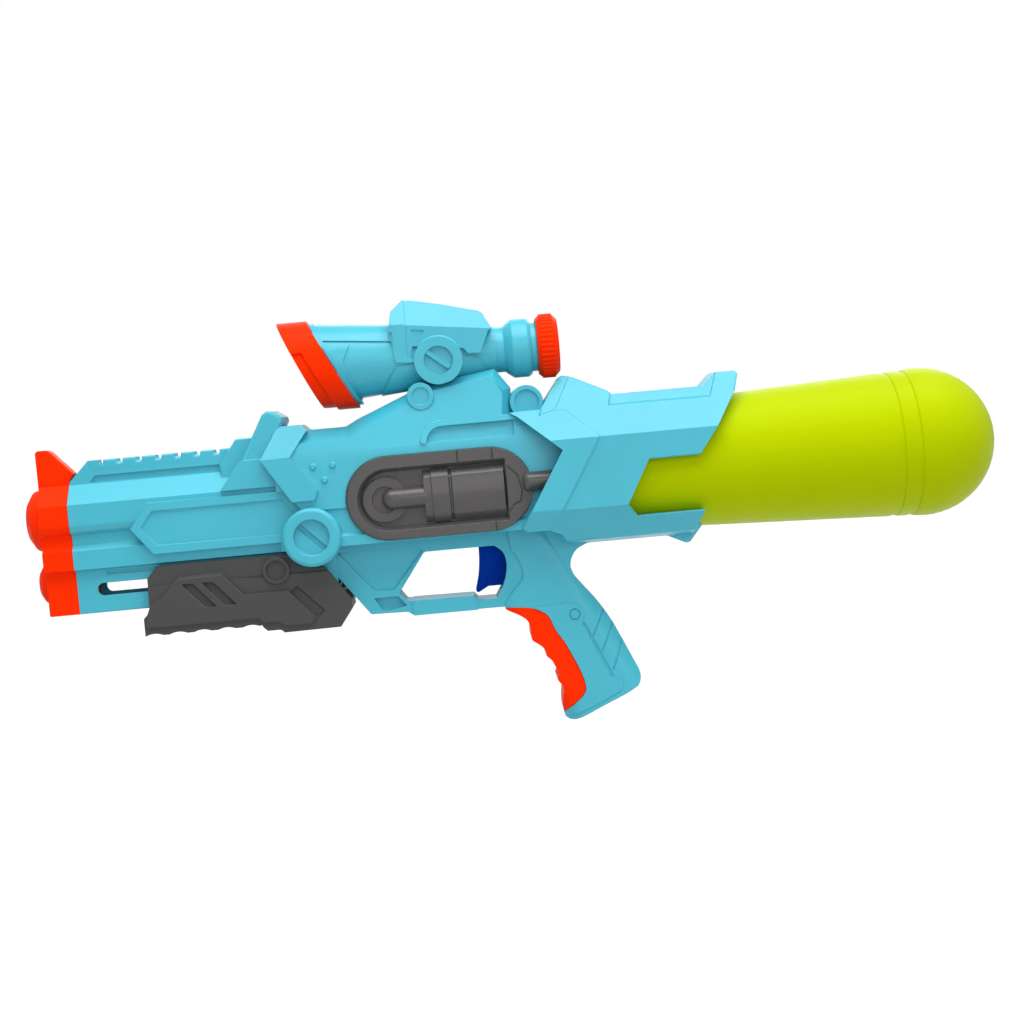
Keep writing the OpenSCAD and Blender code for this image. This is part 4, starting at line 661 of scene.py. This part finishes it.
fittings = tree_of("muzzle_cap", "finger_grip", "left_side_panel", "right_side_panel")
shells = tree_of("left_shell", "right_shell")
scope_shells = tree_of("scope_left_shell", "scope_right_shell")
SKINS = {
    "left_shell": dict(width=CASING_ROUND, near=fittings),
    "right_shell": dict(width=CASING_ROUND, near=fittings),
    "muzzle_cap": dict(width=1.2 * MM, near=shells),
    "finger_grip": dict(width=2.6 * MM, near=shells),
    "trigger": dict(width=TRIGGER_ROUND, near=shells, fine=trigger_rounds),
    "left_side_panel": dict(width=PANEL_RIM_ROUND, fine=panel_rounds),
    "scope_left_shell": dict(width=KNOB_RIM_ROUND, fine=scope_rounds),
    "right_side_panel": dict(width=PANEL_RIM_ROUND, fine=panel_rounds),
    "scope_right_shell": dict(width=KNOB_RIM_ROUND, fine=scope_rounds),
    "scope_hood": dict(width=1.5 * MM, near=scope_shells),
    "eyepiece_cap": dict(width=0.35 * MM, segments=2),
    "pump_grip_left": dict(width=CASING_ROUND),
    "pump_grip_right": dict(width=CASING_ROUND),
    "water_tank": dict(width=0.8 * MM, angle=14.0),
}
for name, settings in SKINS.items():
    skin(name, **settings)

for name, ob in nodes.items():
    if name not in SKINS:
        ob.data.materials.clear()
        ob.data.materials.append(MATERIALS[slot_of_node[name]])


# Stage: pale floor, white surroundings and soft lamps

FLOOR_REACH = 6.0
FLOOR_Z = -0.46
FLOOR_GREY = 0.62
FLOOR_GLOW = 1.17
FLOOR_GLOW_SHARE = 0.86     # share of the glow in what the camera and reflections see of the floor
BACKDROP_LIGHT = 1.0
FILL_LIGHT = 0.46
LAMP_TARGET = (0.29, 0.0, -0.02)


def either_ray(tree, first, second):
    """1 for two kinds of ray, and 0 for the others."""
    path = tree.nodes.new("ShaderNodeLightPath")
    either = tree.nodes.new("ShaderNodeMath")
    either.operation = "MAXIMUM"
    tree.links.new(path.outputs[first], either.inputs[0])
    tree.links.new(path.outputs[second], either.inputs[1])
    return either.outputs[0]


def mix_to(tree, out, fac, first, second):
    mix = tree.nodes.new("ShaderNodeMixShader")
    tree.links.new(fac, mix.inputs["Fac"])
    tree.links.new(first, mix.inputs[1])
    tree.links.new(second, mix.inputs[2])
    tree.links.new(mix.outputs["Shader"], out.inputs["Surface"])


def floor_material():
    mat, tree, out = new_material("pale_floor")
    diffuse = tree.nodes.new("ShaderNodeBsdfDiffuse")
    diffuse.inputs["Color"].default_value = (*grey(FLOOR_GREY), 1.0)
    glow = tree.nodes.new("ShaderNodeEmission")
    glow.inputs["Strength"].default_value = FLOOR_GLOW
    share = tree.nodes.new("ShaderNodeMath")
    share.operation = "MULTIPLY"
    share.inputs[1].default_value = FLOOR_GLOW_SHARE
    tree.links.new(either_ray(tree, "Is Camera Ray", "Is Glossy Ray"), share.inputs[0])
    mix_to(tree, out, share.outputs[0], diffuse.outputs["BSDF"], glow.outputs["Emission"])
    return mat


def pale_floor():
    me = bpy.data.meshes.new("floor")
    corners = [(-1, -1), (1, -1), (1, 1), (-1, 1)]
    me.from_pydata([(x * FLOOR_REACH, y * FLOOR_REACH, FLOOR_Z) for x, y in corners], [], [(0, 1, 2, 3)])
    me.materials.append(floor_material())
    ob = bpy.data.objects.new("floor", me)
    scene.collection.objects.link(ob)


def background(tree, strength):
    node = tree.nodes.new("ShaderNodeBackground")
    node.inputs["Color"].default_value = (1, 1, 1, 1)
    node.inputs["Strength"].default_value = strength
    return node.outputs["Background"]


def white_surroundings():
    world = bpy.data.worlds.new("studio")
    scene.world = world
    world.use_nodes = True
    tree = world.node_tree
    tree.nodes.clear()
    out = tree.nodes.new("ShaderNodeOutputWorld")
    seen = either_ray(tree, "Is Camera Ray", "Is Transmission Ray")
    mix_to(tree, out, seen, background(tree, FILL_LIGHT), background(tree, BACKDROP_LIGHT))


def softbox(name, place, size, power):
    lamp = bpy.data.lights.new(name, "AREA")
    lamp.shape = "RECTANGLE"
    lamp.size, lamp.size_y = size
    lamp.energy = power
    ob = bpy.data.objects.new(name, lamp)
    ob.location = place
    ob.rotation_euler = (Vector(LAMP_TARGET) - Vector(place)).to_track_quat("-Z", "Y").to_euler()
    scene.collection.objects.link(ob)


pale_floor()
white_surroundings()
softbox("top_box", place=(0.45, -0.50, 1.55), size=(2.2, 1.4), power=41.0)
softbox("front_box", place=(0.80, -1.95, 0.55), size=(2.0, 1.2), power=11.5)
softbox("back_box", place=(0.45, 1.9, 0.9), size=(2.0, 1.0), power=10.0)


# Camera at the photo's angle: nearly square to the side, a little from above, and rolled

CAMERA_PLACE = Vector((0.26245, -1.1, 0.04173))
CAMERA_YAW = 0.0216
CAMERA_PITCH = -0.05598
CAMERA_ROLL = 0.08979
CAMERA_LENS = 64.63
CAMERA_SENSOR = 36.0
UP = Vector((0, 0, 1))

flat_way = Vector((math.sin(CAMERA_YAW), math.cos(CAMERA_YAW), 0.0))
ahead = flat_way * math.cos(CAMERA_PITCH) + UP * math.sin(CAMERA_PITCH)
level = ahead.cross(UP).normalized()
rise = level.cross(ahead)
aim = Matrix.Identity(4)
aim.col[0][:3] = level * math.cos(CAMERA_ROLL) - rise * math.sin(CAMERA_ROLL)
aim.col[1][:3] = level * math.sin(CAMERA_ROLL) + rise * math.cos(CAMERA_ROLL)
aim.col[2][:3] = -ahead
aim.col[3][:3] = CAMERA_PLACE

camera = bpy.data.cameras.new("camera")
camera.sensor_fit = "HORIZONTAL"
camera.sensor_width = CAMERA_SENSOR
camera.lens = CAMERA_LENS
camera_object = bpy.data.objects.new("camera", camera)
camera_object.matrix_world = aim
scene.collection.objects.link(camera_object)
scene.camera = camera_object
scene.view_settings.view_transform = "Standard"

bpy.context.view_layer.update()
